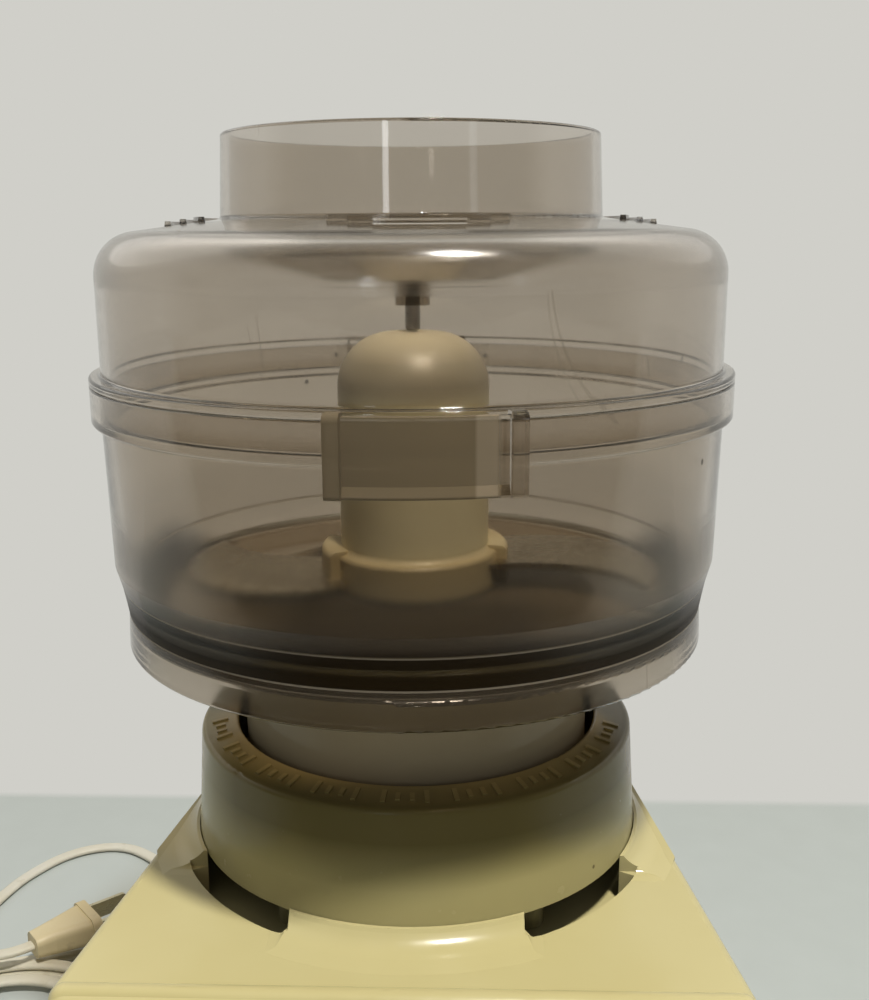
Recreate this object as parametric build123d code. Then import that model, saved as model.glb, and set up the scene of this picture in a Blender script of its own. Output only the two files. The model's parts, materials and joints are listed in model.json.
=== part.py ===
"""A food processor bowl on a blender-style motor base, as separate pieces.

Millimetres. The origin is on the table, under the vertical axis that the bowl, the gears and the motor
share. +Z is up, -Y is the front with the controls and +Y is the back, where the lead comes out.
"""

import math
import os

from build123d import *

# ---------------------------------------------------------------- clearances
seat_gap = 0.2  # between flat faces that rest on each other
running_gap = 0.05  # radial, a shaft in its bush
slide_gap = 0.25  # each side of a button, key or lug that slides
press_gap = 0.02  # radial, parts that are pressed or screwed together
head_gap = 0.05  # under a tight screw's head
bowl_gap = 0.3  # between the lift-off assemblies and what they stand on
over = 1.0  # how far a cut runs past what it cuts
through = 400.0  # a cut that goes through the whole object

# ---------------------------------------------------------------- housing
foot_height = 5.0
base_depth = 200.0
base_front_width = 190.0
base_back_width = 160.0
base_corner = 14.0
top_front_width = 147.0
top_back_width = 104.0
top_front_y = -78.0
top_back_y = 72.0
top_corner = 5.0
housing_height = 116.0
wall = 3.0
edge_round = 2.4
lip_ridge_r = 3.0
lip_ridge_rise = 1.0
lip_ridge_inset = 4.0
lip_ridge_end = 3.8  # from the corner of the plateau to the middle of its round end
post_inset = 13.0
post_r = 5.0
foot_inset = 26.0
foot_r = 9.2
foot_draft = 0.6
foot_bevel = 1.2
foot_stem_r = 3.8
foot_barb = 1.6
foot_barb_height = 3.0
plate_thickness = 2.5
plate_recess = 1.0
plate_screw_bite = 12.0
plate_slot_count = 7
plate_slot_pitch = 10.0
plate_slot_width = 4.0
plate_slot_length = 48.0

rim_z = foot_height
plate_z = rim_z + plate_recess
plate_top_face_z = plate_z + plate_thickness
plateau_z = rim_z + housing_height

# ---------------------------------------------------------------- collar and its seat
collar_foot_r = 56.6
collar_shoulder_r = 54.9
collar_wall = 3.2
collar_rise = 32.5  # above the plateau
collar_top_fall = 1.8
collar_bore_r = 45.7
collar_floor_r = 38.0
collar_floor_thickness = 3.0
collar_sink = 7.6  # of its screw bosses, below the plateau
stud_hole_r = 10.0
seat_depth = 12.5
vent_gap = 4.2
tab_rise = 4.2
tab_lip = 0.8  # how thick it is along its top
tab_half_angle = 27.5
tab_cove = 8.0
tab_cove_run = 2.6  # from its top to the middle of the cove
tab_cove_rise = 1.0  # above the plateau
tab_run = 7.6  # how far its foot runs out over the plateau
tab_side_lean = 0.5
tab_side_cove = 2.5
tab_side_run = 4.2  # the same for the feet of its sides
tab_side_rise = 0.5
tab_sweep_angle = 45.0  # wide enough to hold the feet of the sides
arm_wall = 1.5
shelf_thickness = 3.6
shelf_inner_r = 41.0
key_count = 4
key_width = 4.0
key_depth = 1.5
key_height = 7.0
collar_boss_r = 4.2
collar_boss_place_r = 44.5
mount_spread = 38.0  # degrees, from the front-to-back line to each mount screw
mount_screw_bite = 14.0
collar_tuck = 0.6  # how deep its lower edge sits behind the tabs
collar_edge_round = 1.4
collar_lip_round = 0.8
tick_groups = 9
tick_group_pitch = 18.0  # degrees
ticks_in_group = 4
tick_pitch = 3.6  # degrees
tick_height = 0.5
tick_width = 1.1
long_tick = 4.0
short_tick = 2.4

collar_top_z = plateau_z + collar_rise
collar_foot_z = plateau_z - collar_sink
seat_z = collar_top_z - seat_depth
vent_r = collar_foot_r + vent_gap

# ---------------------------------------------------------------- screws
screw_r = 1.9
screw_hole_r = 2.2
screw_head_r = 3.6
screw_head_height = 2.2

# ---------------------------------------------------------------- bowl
smoke_wall = 2.0
neck_r = 43.6
neck_height = 35.5  # from the seat to the skirt's lower edge
skirt_r = 70.8
skirt_height = 9.2  # from the skirt's lower edge to the bowl's floor
floor_thickness = 2.5
bowl_foot_r = 71.7
bowl_mid_r = 73.0
bowl_top_r = 73.8
bowl_depth = 45.0  # from the floor to the band
floor_round = 8.0
band_r = 76.0
band_height = 8.7
band_wall = 2.0
band_step = 2.0  # from the band's lower edge to the step that carries the lid's wall
edge_break = 0.8
skirt_draft = 0.4
skirt_line_drop = 0.5  # below the floor, where the skirt ends and the wall starts
foot_line_rise = 6.8  # above the floor, where the wall starts to flare
mid_line_rise = 11.5
pipe_r = 12.5
pipe_wall = 3.0
pipe_height = 36.0

bowl_z = seat_z + bowl_gap
skirt_z = bowl_z + neck_height
floor_z = skirt_z + skirt_height
band_z = floor_z + bowl_depth
rim_top_z = band_z + band_height

# ---------------------------------------------------------------- lid
lip_thickness = 1.6
lip_round = 0.6
lid_r = 73.3
lid_wall_height = 22.0
shoulder_rise = 10.2
shoulder_round = 10.0
plate_rise = 3.8
chimney_r = 44.7
chimney_top_r = 43.85
chimney_height = 18.8
dish_drop = 3.2
dish_round = 3.4
dish_depth = 9.4
lobe_r = 27.0
lobe_depth = 3.8
lobe_width = 7.3
lobe_step = 1.2
lobe_round = 4.0
lid_turn = 4.6  # degrees, how far the lid sits turned on the bowl
catch_width = 36.8
catch_height = 15.9
catch_depth = 3.6
catch_rail = 2.9
catch_web = 1.6
catch_foot = 2.4
catch_foot_lip = 0.9
boss_r = 4.2
boss_drop = 5.5
fork_r = 4.85
fork_gap = 5.8
fork_height = 3.3
pin_r = 1.8
pin_gap = 0.4
motif_rise = 1.1
motif_arcs = 3
motif_start = 5.3  # from the ring to the first arc
motif_pitch = 3.2
motif_width = 1.8
motif_half_angle = 21.0
motif_step = 6.0  # how much shorter each next arc is, at each end

lip_z = rim_top_z + bowl_gap
lid_shoulder_z = lip_z + lid_wall_height
plate_edge_z = lid_shoulder_z + shoulder_rise
plate_top_z = plate_edge_z + plate_rise

# ---------------------------------------------------------------- blade hub
hub_r = 18.5
hub_height = 62.7
hub_round = 13.0
hub_wall = 4.2
hub_running_height = 0.8  # above the bowl's floor
flange_r = 21.0
flange_height = 8.8
lug_r = 23.5
lug_half_angle = 22.0
lug_rise = 1.0  # above the flange
lug_turn = 30.0  # degrees from the low blade's heading
blade_thickness = 1.5
blade_tip_r = 60.0
blade_root_gap = 1.1  # the wing's corners lie this far outside the hub's wall, in its flange
blade_seat = 1.2  # how deep the wing's middle reaches into the hub's wall
wing_lead_angle = 62.0
wing_trail_angle = -14.0
tip_half_angle = 4.0
bevel_height = 0.65
bevel_width = 2.4
low_blade_rise = 1.5
high_blade_rise = 5.0
blade_heading = 160.0  # degrees from +X, at rest
drive_flats = 8.6
drive_length = 15.0

hub_z = floor_z + hub_running_height
hub_top_z = hub_z + hub_height

# ---------------------------------------------------------------- reduction gears
gear_module = 1.25
sun_teeth = 12
planet_teeth = 18
ring_teeth = sun_teeth + 2 * planet_teeth
planet_count = 3
gear_width = 10.0
gear_axial_gap = 0.8
tooth_thickness = 0.38  # share of the tooth pitch, at the pitch circle
tooth_addendum = 0.9  # in modules
tooth_dedendum = 1.2
tooth_slope = 0.36
carrier_thickness = 4.0
carrier_rim = 6.0
planet_pin_r = 3.0
input_r = 5.0
sun_bore_r = 3.6
output_r = 5.0
cover_recess = 2.0
cover_thickness = 3.0
cover_screw_place_r = 37.5
cover_screw_bite = 9.0
cover_collar_wall = 2.5
cover_collar_height = 4.0
socket_r = 10.5
coupling_gap = 1.5  # between the input coupling and the stud's collar
bush_wall = 3.0
bush_length = 9.0
bush_housing_drop = 8.0  # below the bowl's floor
seal_height = 2.0
seal_slope = 0.6
seal_gap = 0.15
pin_head = 1.6
gear_room = 11.0  # from the cover to the gears
ring_clearance = 0.4
ring_tooth_overlap = 0.6  # how far the ring's teeth reach past the planets, each way

pitch_sun = gear_module * sun_teeth / 2
pitch_planet = gear_module * planet_teeth / 2
pitch_ring = gear_module * ring_teeth / 2
planet_place_r = pitch_sun + pitch_planet
cover_z = bowl_z + cover_recess
cover_top_z = cover_z + cover_thickness
gear_z = cover_top_z + gear_room
gear_top_z = gear_z + gear_width
carrier_z = gear_top_z + gear_axial_gap
neck_inner_r = neck_r - smoke_wall + 0.2
pipe_top_z = floor_z + pipe_height

# ---------------------------------------------------------------- motor
stack_low_gap = 23.0  # from the lower bracket to the stack
stack_high_gap = 17.4  # from the stack to the upper bracket
stator_width = 86.0
stator_depth = 70.0
yoke = 8.0
rotor_r = 20.0
air_gap = 0.6
pole_half_angle = 55.0
pole_shoe = 4.4
pole_neck = 22.0
coil_thickness = 7.6
coil_overhang = 5.0
coil_gap = 0.4
motor_bolt_inset = 5.0
bracket_thickness = 4.0
bracket_post_r = 4.6
bracket_corner = 6.0
bracket_rim = 6.0  # between the windows and the long edges
bracket_spoke = 14.0
bearing_seat_wall = 3.5
bearing_web = 9.0  # between the bearing and the windows
mount_boss_wall = 1.2
shaft_r = 4.0
bearing_wall = 4.0
bearing_length = 9.0
bearing_step = 2.0  # how much shorter the lower bearing is
rotor_slots = 12
rotor_slot_width = 2.2
rotor_slot_depth = 6.0
winding_overhang = 5.0
winding_gap = 0.2
winding_inset = 2.0
winding_bore_wall = 3.0
commutator_r = 11.0
commutator_length = 13.0
commutator_drop = 6.0  # below the stack
riser_width = 1.6
slit_width = 0.5
slit_depth = 0.8
brush_side = 6.0
brush_length = 13.0
brush_gap = 0.25
holder_side = 13.0
holder_gap = 3.0  # between the commutator and the holder
holder_extra = 4.0
holder_slide = 0.1
fan_r = 34.0
fan_height = 7.5
fan_blades = 9
fan_blade_thickness = 1.2
fan_disc = 1.5
fan_hub_wall = 4.0
fan_rise = 4.5  # above the base plate
fan_gap = 4.5  # from the fan to the lower bracket
shaft_rise = 2.5
stud_side = 7.8
stud_length = 14.0
stud_thread_r = 2.5
stud_collar_height = 3.0
stud_collar_share = 0.9  # the collar's radius beside the square's side
stud_tip = 3.5  # of solid steel above the thread
stud_bevel = 0.8

shelf_top_z = collar_foot_z - seat_gap
shelf_z = shelf_top_z - shelf_thickness
bracket_top_z = shelf_z - seat_gap
bracket_z = bracket_top_z - bracket_thickness
low_bracket_z = plate_top_face_z + fan_rise + fan_height + fan_gap
low_bracket_top_z = low_bracket_z + bracket_thickness
low_bearing_top_z = low_bracket_z + bearing_length - bearing_step
stack_z = low_bracket_top_z + stack_low_gap
stack_top_z = bracket_z - stack_high_gap
stud_z = plateau_z + 1.0

# ---------------------------------------------------------------- controls
panel_z = 64.0
panel_margin = 11.0  # from its ends to the sloping corners of the housing
panel_height = 34.0
panel_corner = 3.0
panel_thickness = 1.6
panel_recess = 1.2
button_height = 13.0
button_space = 2.5
button_round = 1.2
button_proud = 5.5
button_flange = 1.5
flange_rim = 0.8
speed_count = 5
end_margin = 17.0  # from the panel's left end to the middle of the off button
slider_margin = 19.0  # from its right end to the middle of the slider
off_space = 23.0  # between the middles of the off button and the first speed
slider_space = 17.0
slider_travel = 8.0
slider_width = 6.0
slider_height = 5.0
block_gap = 8.0
block_depth = 14.0
block_height = 18.0
stem_width = 6.0
stem_height = 5.0
stem_length = 13.0
window_margin = 2.0
window_inset = 0.5
ear_reach = 5.0
ear_half = 4.0
ear_thickness = 3.0
ear_post_r = 4.0
switch_screw_bite = 5.0
block_wall = 2.0
slider_drop = 1.5  # below the buttons' faces
slider_flange = 3.0
grip_groove = 0.6

panel_share = (panel_z - rim_z) / housing_height
housing_width = base_front_width + (top_front_width - base_front_width) * panel_share
panel_width = housing_width - 2 * panel_margin
off_button_x = -panel_width / 2 + end_margin
slider_x = panel_width / 2 - slider_margin
first_speed_x = off_button_x + off_space
button_pitch = (slider_x - slider_space - first_speed_x) / (speed_count - 1)
button_width = button_pitch - button_space

# ---------------------------------------------------------------- lead
cord_r = 2.6
relief_z = 18.0
relief_length = 28.0  # behind the back wall
relief_r = 5.6
relief_tip_r = 3.6
relief_groove = 0.6
relief_boss_r = 9.0
relief_flange = 3.0
relief_seat = 8.5  # from the back edge to the flange inside the wall
relief_inner_flange = 2.0
coil_round = 1.5
coil_x = -147.0
coil_y = 54.9
coil_inner_r = 30.0
coil_outer_r = 54.0
coil_height = 5.6
plug_length = 24.0
plug_neck = 7.0
plug_neck_width = 10.4
plug_neck_height = 8.2
plug_face_width = 20.0
plug_face_height = 11.7
plug_face_depth = 3.6
plug_face_rim = 1.0
prong_length = 16.5
prong_width = 6.4
prong_thickness = 1.5
prong_spread = 12.7  # between their middles
plug_heading = 41.6  # degrees from +X towards +Y
# The lead is laid by hand: out of the back, down to the table and into the coil.
lead_route = [
    (0, 128, 18),
    (-2, 145, 15),
    (-15, 160, 8),
    (-43.7, 161.6, 2.8),
    (-69.3, 149.7, 2.7),
    (-92.6, 130.8, 2.7),
    (-116.1, 114.5, 2.7),
    (-143.8, 106.3, 2.7),
]
# Its far end leaves the coil, arches over the lead behind the base and turns back into the plug.
tail_route = [
    (-95.9, 58.7, 2.8),
    (-95.5, 82.7, 3.6),
    (-97.9, 108.7, 9.4),
    (-102.8, 135.5, 9.2),
    (-112.7, 160.2, 3.2),
    (-126.3, 178.7, 2.7),
    (-144.7, 190.1, 2.7),
    (-165.5, 183.5, 2.7),
    (-179, 163, 2.7),
    (-184, 144, 2.7),
    (-186.5, 127, 2.8),
    (-187, 110, 5.2),
    (-182.6, 99.4, 8.8),
    (-173.8, 94.6, 10.2),
    (-165, 92.4, 11.2),
    (-156.3, 94.6, 11.5),
    (-151.1, 99.3, 11.5),
]


# ================================================================ helpers
def outline(points):
    """A closed flat outline. A third number in a point rounds that corner."""
    sketch = make_face(Polyline(*[p[:2] for p in points], close=True))
    for x, y, radius in [p for p in points if len(p) == 3]:
        corner = sketch.vertices().sort_by_distance((x, y, 0))[0]
        sketch = fillet(corner, radius)
    return sketch


def lathe(points, arc=360.0, start=0.0):
    """The (radius, height) outline turned about the Z axis from start, through arc degrees."""
    return Rot(0, 0, start) * revolve(Plane.XZ * outline(points), Axis.Z, arc)


def tube(outer, inner, low, high):
    """A round tube between two heights."""
    return lathe([(inner, low), (outer, low), (outer, high), (inner, high)])


def rod(radius, low, high):
    """A round bar on the Z axis."""
    return Pos(0, 0, low) * Cylinder(radius, high - low, align=(Align.CENTER, Align.CENTER, Align.MIN))


def rods(places, radius, low, high):
    """Round bars at several places."""
    return [Pos(x, y, 0) * rod(radius, low, high) for x, y in places]


def block(low, high):
    """A box between two corners."""
    size = [b - a for a, b in zip(low, high)]
    return Pos(*low) * Box(*size, align=(Align.MIN, Align.MIN, Align.MIN))


def polar(radius, angle):
    """A point on a circle, in the plane of the table."""
    turn = math.radians(angle)
    return (radius * math.cos(turn), radius * math.sin(turn))


def around(shape, angles):
    """Copies of a shape turned about the Z axis."""
    return [Rot(0, 0, angle) * shape for angle in angles]


def evenly(count):
    """The angles of so many copies spread round a circle."""
    return [360 / count * i for i in range(count)]


def blend(start, end, share):
    return start + (end - start) * share


def screw(length):
    """A pan-head screw: its head's underside is at height 0 and its shank goes up."""
    head = Pos(0, 0, -screw_head_height) * rod(screw_head_r, 0, screw_head_height)
    head = fillet(head.edges().group_by(Axis.Z)[0], 0.8)
    half = screw_head_r * 2 / 3
    slot_floor = -screw_head_height * 0.6
    drive = block((-half, -0.4, -screw_head_height - over), (half, 0.4, slot_floor))
    return head + rod(screw_r, 0, length) - drive - Rot(0, 0, 90) * drive


def screw_bore(length):
    """The hole that a screw cuts its thread in: its mouth is at height 0."""
    return rod(screw_r + press_gap, -over, length + 2.0)


def save(name, shape):
    """Write one node's solids to parts/name.step."""
    solids = shape if isinstance(shape, list) else [shape]
    solids = [solid for piece in solids for solid in piece.solids()]
    part = solids[0] if len(solids) == 1 else Compound(children=solids)
    export_step(part, f"parts/{name}.step")


# ================================================================ housing
def section(z, inset=0.0):
    """The housing's outline at height z, moved inwards by inset."""
    share = (z - rim_z) / housing_height
    front = blend(base_front_width, top_front_width, share) / 2 - inset
    back = blend(base_back_width, top_back_width, share) / 2 - inset
    y_front = blend(-base_depth / 2, top_front_y, share) + inset
    y_back = blend(base_depth / 2, top_back_y, share) - inset
    corner = max(blend(base_corner, top_corner, share) - inset, 1.0)
    corners = [(-front, y_front), (front, y_front), (back, y_back), (-back, y_back)]
    return Pos(0, 0, z) * outline([(x, y, corner) for x, y in corners])


def foot_places(inset):
    """Four places, inset from the corners of the footprint."""
    front = base_front_width / 2 - inset
    back = base_back_width / 2 - inset
    y = base_depth / 2 - inset
    return [(-front, -y), (front, -y), (back, y), (-back, y)]


mount_angles = [side + turn for side in (0, 180) for turn in (90 - mount_spread, 90 + mount_spread)]
mount_places = [polar(collar_boss_place_r, angle) for angle in mount_angles]
tab_angles = [90 * i for i in range(4)]


def front_plane():
    """The plane of the sloping front face: x to the right, y up the slope, z outwards."""
    y = blend(-base_depth / 2, top_front_y, (panel_z - rim_z) / housing_height)
    lean = math.atan2(top_front_y + base_depth / 2, housing_height)
    return Plane(origin=(0, y, panel_z), x_dir=(1, 0, 0), z_dir=(0, -math.cos(lean), math.sin(lean)))


def tab():
    """One quarter bracket: a raised tab that hugs the collar, with straight sides whose feet sweep out
    over the plateau, and the shelf arm under the collar."""
    inner = collar_foot_r + seat_gap
    foot = inner + tab_lip + tab_cove_run
    reach = foot + tab_run
    under = plateau_z - wall / 2
    top = plateau_z + tab_rise
    face = [
        (reach, under),
        (reach, plateau_z),
        (foot, plateau_z + tab_cove_rise, tab_cove),
        (inner + tab_lip, top),
        (inner, top),
    ]
    shelf = [(inner, shelf_top_z), (shelf_inner_r, shelf_top_z), (shelf_inner_r, shelf_z)]
    arm = [(vent_r + arm_wall, shelf_z), (vent_r + arm_wall, under)]
    bracket = lathe(face + shelf + arm, 2 * tab_half_angle, -tab_half_angle)
    # straight sides above the plateau
    half_width = inner * math.sin(math.radians(tab_half_angle))
    for low, high in ((-reach, -half_width), (half_width, reach)):
        bracket -= block((0, low, plateau_z), (reach + over, high, top + over))
    # and their swept feet, which the round vent cuts off
    sweep = [
        (half_width, under),
        (half_width + tab_side_run, under),
        (half_width + tab_side_run, plateau_z),
        (half_width + tab_side_lean, plateau_z + tab_side_rise, tab_side_cove),
        (half_width, top),
    ]
    bar = extrude(Plane.YZ * outline(sweep), reach + over)
    side = lathe(face + [(inner, under)], tab_sweep_angle) & bar
    side -= rod(vent_r + press_gap, under - over, top + over)
    return bracket + side + mirror(side, Plane.XZ)


def base_housing():
    outer = loft([section(rim_z), section(plateau_z)])
    outer = fillet(outer.edges().group_by(Axis.Z)[-1], edge_round)
    shell = outer - loft([section(rim_z - over, wall), section(plateau_z - wall, wall)])
    shell -= rod(vent_r, plateau_z - 2 * wall, plateau_z + wall)
    shell += tube(collar_foot_r + seat_gap, shelf_inner_r, shelf_z, shelf_top_z)
    # the tabs stop short of the rounded edge of the plateau
    above = extrude(section(plateau_z, edge_round), tab_rise + over)
    limit = loft([section(rim_z), section(plateau_z)]) + above
    for arm in around(tab(), tab_angles):
        shell += arm & limit
    for hole in rods(mount_places, screw_hole_r, shelf_z - over, shelf_top_z + over):
        shell -= hole
    # a soft ridge along the front edge of the plateau
    ridge_length = top_front_width / 2 - lip_ridge_end
    ridge = Rot(0, 90, 0) * Cylinder(lip_ridge_r, 2 * ridge_length)
    ends = [Pos(side * ridge_length, 0, 0) * Sphere(lip_ridge_r) for side in (-1, 1)]
    ridge = Pos(0, top_front_y + lip_ridge_inset, plateau_z + lip_ridge_rise - lip_ridge_r) * (ridge + ends)
    shell += ridge - block((-through, -through, 0), (through, through, plateau_z - wall / 2))
    # corner posts that take the plate screws
    for x, y in foot_places(post_inset):
        post = Pos(x, y, 0) * rod(post_r, plate_top_face_z + seat_gap, plateau_z - wall)
        shell += post & outer
        shell -= Pos(x, y, plate_top_face_z) * screw_bore(plate_screw_bite)
    # the boss and the hole for the strain relief
    back = base_depth / 2
    backwards = Pos(0, 0, relief_z) * Rot(-90, 0, 0)
    shell += backwards * rod(relief_boss_r, back - relief_seat + seat_gap, back)
    shell -= backwards * rod(relief_hole_r(), back - relief_seat - over, back + over)
    # the pocket for the control panel, the window behind it and the posts of the switch block
    face = front_plane()
    half_width = panel_width / 2 + seat_gap
    half_height = panel_height / 2 + seat_gap
    shell -= face * block((-half_width, -half_height, -panel_recess), (half_width, half_height, through))
    low_x, high_x = window_ends()
    half_height = block_height / 2 - window_inset
    shell -= face * block((low_x, -half_height, -block_gap - block_depth), (high_x, half_height, through))
    for x in ear_places():
        post = face * Pos(x, 0, -block_gap) * rod(ear_post_r, 0, block_gap - wall / 2)
        shell += post & outer
        shell -= face * Pos(x, 0, -block_gap) * rod(screw_r + press_gap, -over, switch_screw_bite + seat_gap)
    return shell


def base_plate():
    plate = loft([section(plate_z, wall + slide_gap), section(plate_top_face_z, wall + slide_gap)])
    for hole in rods(foot_places(post_inset), screw_hole_r, 0, plateau_z):
        plate -= hole
    for hole in rods(foot_places(foot_inset), foot_stem_r + slide_gap, 0, plateau_z):
        plate -= hole
    # cooling slots below the fan
    slot = Box(plate_slot_length, plate_slot_width, plateau_z)
    for i in range(plate_slot_count):
        plate -= Pos(0, plate_slot_pitch * (i - (plate_slot_count - 1) / 2), 0) * slot
    return plate


def feet():
    """Rubber feet, each with a stem through the plate and a barb above it."""
    low = plate_z - seat_gap
    top = plate_top_face_z + seat_gap
    profile = [
        (0, 0),
        (foot_r - foot_bevel, 0),
        (foot_r, foot_bevel),
        (foot_r - foot_draft, low),
        (foot_stem_r, low),
        (foot_stem_r, top),
        (foot_stem_r + foot_barb, top),
        (foot_stem_r - 0.4, top + foot_barb_height),
        (0, top + foot_barb_height),
    ]
    return [Pos(x, y, 0) * lathe(profile) for x, y in foot_places(foot_inset)]


def screws(places, under, length):
    """Screws from below, each with its head just under the face that it holds."""
    return [Pos(x, y, under - head_gap) * screw(length) for x, y in places]


def plate_screws():
    return screws(foot_places(post_inset), plate_z, plate_thickness + plate_screw_bite)


# ================================================================ collar
def collar_ring():
    """The hollow collar: a tapered skirt, a sloping top, the bore with its ledge, and a floor."""
    floor_low = plateau_z - 1.0
    floor_top = floor_low + collar_floor_thickness
    skirt_low = plateau_z + tab_rise - collar_tuck
    under_ledge = seat_z - collar_wall
    profile = [
        (collar_foot_r, skirt_low),
        (collar_shoulder_r, collar_top_z - collar_top_fall, collar_edge_round),
        (collar_bore_r, collar_top_z, collar_lip_round),
        (collar_bore_r, seat_z, collar_lip_round),
        (collar_floor_r, seat_z, collar_lip_round),
        (collar_floor_r, floor_top, collar_lip_round),
        (stud_hole_r, floor_top),
        (stud_hole_r, floor_low),
        (collar_floor_r + collar_wall, floor_low),
        (collar_floor_r + collar_wall, under_ledge),
        (collar_bore_r + collar_wall, under_ledge),
        (collar_bore_r + collar_wall, collar_top_z - collar_wall - 1.0),
        (collar_shoulder_r - collar_wall, collar_top_z - collar_wall - collar_top_fall),
        (collar_foot_r - collar_wall, skirt_low),
    ]
    ring = lathe(profile)
    for boss in rods(mount_places, collar_boss_r, collar_foot_z, under_ledge + 0.5):
        ring += boss
    for x, y in mount_places:
        ring -= Pos(x, y, collar_foot_z) * screw_bore(mount_screw_bite)
    # keys that stop the bowl's neck from turning
    key_inner = collar_bore_r - key_depth
    key_outer = collar_bore_r + over
    half = key_width / 2
    key = block((key_inner, -half, seat_z - collar_wall / 2), (key_outer, half, seat_z + key_height))
    for piece in around(key, key_angles()):
        ring += piece
    # plain raised ticks on the sloping top, in groups
    middle_r = (collar_bore_r + collar_shoulder_r) / 2
    slope = math.degrees(math.atan2(collar_top_fall, collar_shoulder_r - collar_bore_r))
    middle_z = collar_top_z - collar_top_fall / 2
    for group in range(tick_groups):
        group_angle = -90 + (group - (tick_groups - 1) / 2) * tick_group_pitch
        for i in range(ticks_in_group):
            angle = group_angle + (i - (ticks_in_group - 1) / 2) * tick_pitch
            length = long_tick if i in (0, ticks_in_group - 1) else short_tick
            tick = Box(length, tick_width, 2 * tick_height)
            ring += Rot(0, 0, angle) * Pos(middle_r, 0, middle_z) * Rot(0, slope, 0) * tick
    return ring


def key_angles():
    return [22.5 + 360 / key_count * i for i in range(key_count)]


# ================================================================ motor
def bolt_places():
    x = stator_width / 2 - motor_bolt_inset
    y = stator_depth / 2 - motor_bolt_inset
    return [(sx * x, sy * y) for sx, sy in ((-1, -1), (1, -1), (1, 1), (-1, 1))]


def bracket_blank(low):
    """A motor end bracket: a windowed plate with a round bearing seat in its middle."""
    half_x, half_y = stator_width / 2, stator_depth / 2
    corners = [(-half_x, -half_y), (half_x, -half_y), (half_x, half_y), (-half_x, half_y)]
    plate = Pos(0, 0, low) * extrude(outline([(x, y, bracket_corner) for x, y in corners]), bracket_thickness)
    window_r = half_y - bracket_rim
    middle_r = shaft_r + bearing_wall + bearing_web
    window = tube(window_r, middle_r, low - over, low + bracket_thickness + over)
    spoke = Pos(0, 0, low) * Box(stator_width, bracket_spoke, 4 * bracket_thickness)
    return plate - (window - spoke - Rot(0, 0, 90) * spoke)


def bearing_seat_r():
    return shaft_r + bearing_wall + press_gap


def motor_top_bracket():
    bracket = bracket_blank(bracket_z)
    bracket += rod(bearing_seat_r() + bearing_seat_wall, bracket_top_z - bearing_length, bracket_top_z)
    for x, y in bolt_places():
        bracket += Pos(x, y, 0) * rod(bracket_post_r, stack_top_z + seat_gap, bracket_z + over)
        bore = rod(screw_r + press_gap, stack_top_z - over, bracket_z + bracket_thickness / 2)
        bracket -= Pos(x, y, 0) * bore
    for boss in rods(mount_places, screw_head_r + mount_boss_wall, bracket_z, bracket_top_z):
        bracket += boss
    for hole in rods(mount_places, screw_hole_r, bracket_z - over, bracket_top_z + over):
        bracket -= hole
    return bracket - rod(bearing_seat_r(), 0, bracket_top_z + over)


def motor_bottom_bracket():
    bracket = bracket_blank(low_bracket_z)
    bracket += rod(bearing_seat_r() + bearing_seat_wall, low_bracket_z, low_bearing_top_z)
    for x, y in bolt_places():
        bracket += Pos(x, y, 0) * rod(bracket_post_r, low_bracket_top_z - over, stack_z - seat_gap)
        bracket -= Pos(x, y, 0) * rod(screw_hole_r, 0, stack_z + over)
    return bracket - rod(bearing_seat_r(), 0, low_bearing_top_z + over)


def motor_bearings():
    outer = shaft_r + bearing_wall
    inner = shaft_r + running_gap
    top = tube(outer, inner, bracket_top_z - bearing_length, bracket_top_z)
    return [top, tube(outer, inner, low_bracket_z, low_bearing_top_z)]


def motor_bolts():
    return screws(bolt_places(), low_bracket_z, bracket_z - low_bracket_z)


def mount_screws():
    return screws(mount_places, bracket_z, bracket_thickness + shelf_thickness + mount_screw_bite)


def motor_stator():
    half_x, half_y = stator_width / 2, stator_depth / 2
    outer = [(-half_x, -half_y), (half_x, -half_y), (half_x, half_y), (-half_x, half_y)]
    inner = [(math.copysign(abs(x) - yoke, x), math.copysign(abs(y) - yoke, y)) for x, y in outer]
    sheet = outline([(x, y, motor_bolt_inset) for x, y in outer]) - outline([(x, y, 3.0) for x, y in inner])
    frame = Pos(0, 0, stack_z) * extrude(sheet, stack_top_z - stack_z)
    bore = rotor_r + air_gap
    outer_r = bore + pole_shoe
    shoe = [(bore, stack_z), (outer_r, stack_z), (outer_r, stack_top_z), (bore, stack_top_z)]
    pole = lathe(shoe, 2 * pole_half_angle, -pole_half_angle)
    neck = block((bore + 0.5, -pole_neck / 2, stack_z), (half_x - yoke + 0.5, pole_neck / 2, stack_top_z))
    neck -= rod(bore + 0.5, stack_z - over, stack_top_z + over)
    for side in around(pole + neck, (0, 180)):
        frame += side
    for x, y in bolt_places():
        frame -= Pos(x, y, 0) * rod(screw_hole_r, stack_z - over, stack_top_z + over)
    return frame


def field_coils():
    """One coil round the neck of each pole."""
    inner_x = rotor_r + air_gap + pole_shoe + coil_gap
    outer_x = stator_width / 2 - yoke - coil_gap
    half_y = pole_neck / 2 + coil_gap
    low = stack_z - coil_gap
    high = stack_top_z + coil_gap
    outer_y = half_y + coil_thickness
    coil = block((inner_x, -outer_y, low - coil_overhang), (outer_x, outer_y, high + coil_overhang))
    coil = fillet(coil.edges().filter_by(Axis.X), coil_overhang * 0.6)
    coil -= block((inner_x - over, -half_y, low), (outer_x + over, half_y, high))
    return around(coil, (0, 180))


def motor_shaft():
    """The rotor's shaft, with a thread at its top for the drive stud."""
    thread_top = stud_z + stud_length - stud_tip - 0.5
    return rod(shaft_r, plate_top_face_z + shaft_rise, stud_z) + rod(stud_thread_r, stud_z - over, thread_top)


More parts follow.
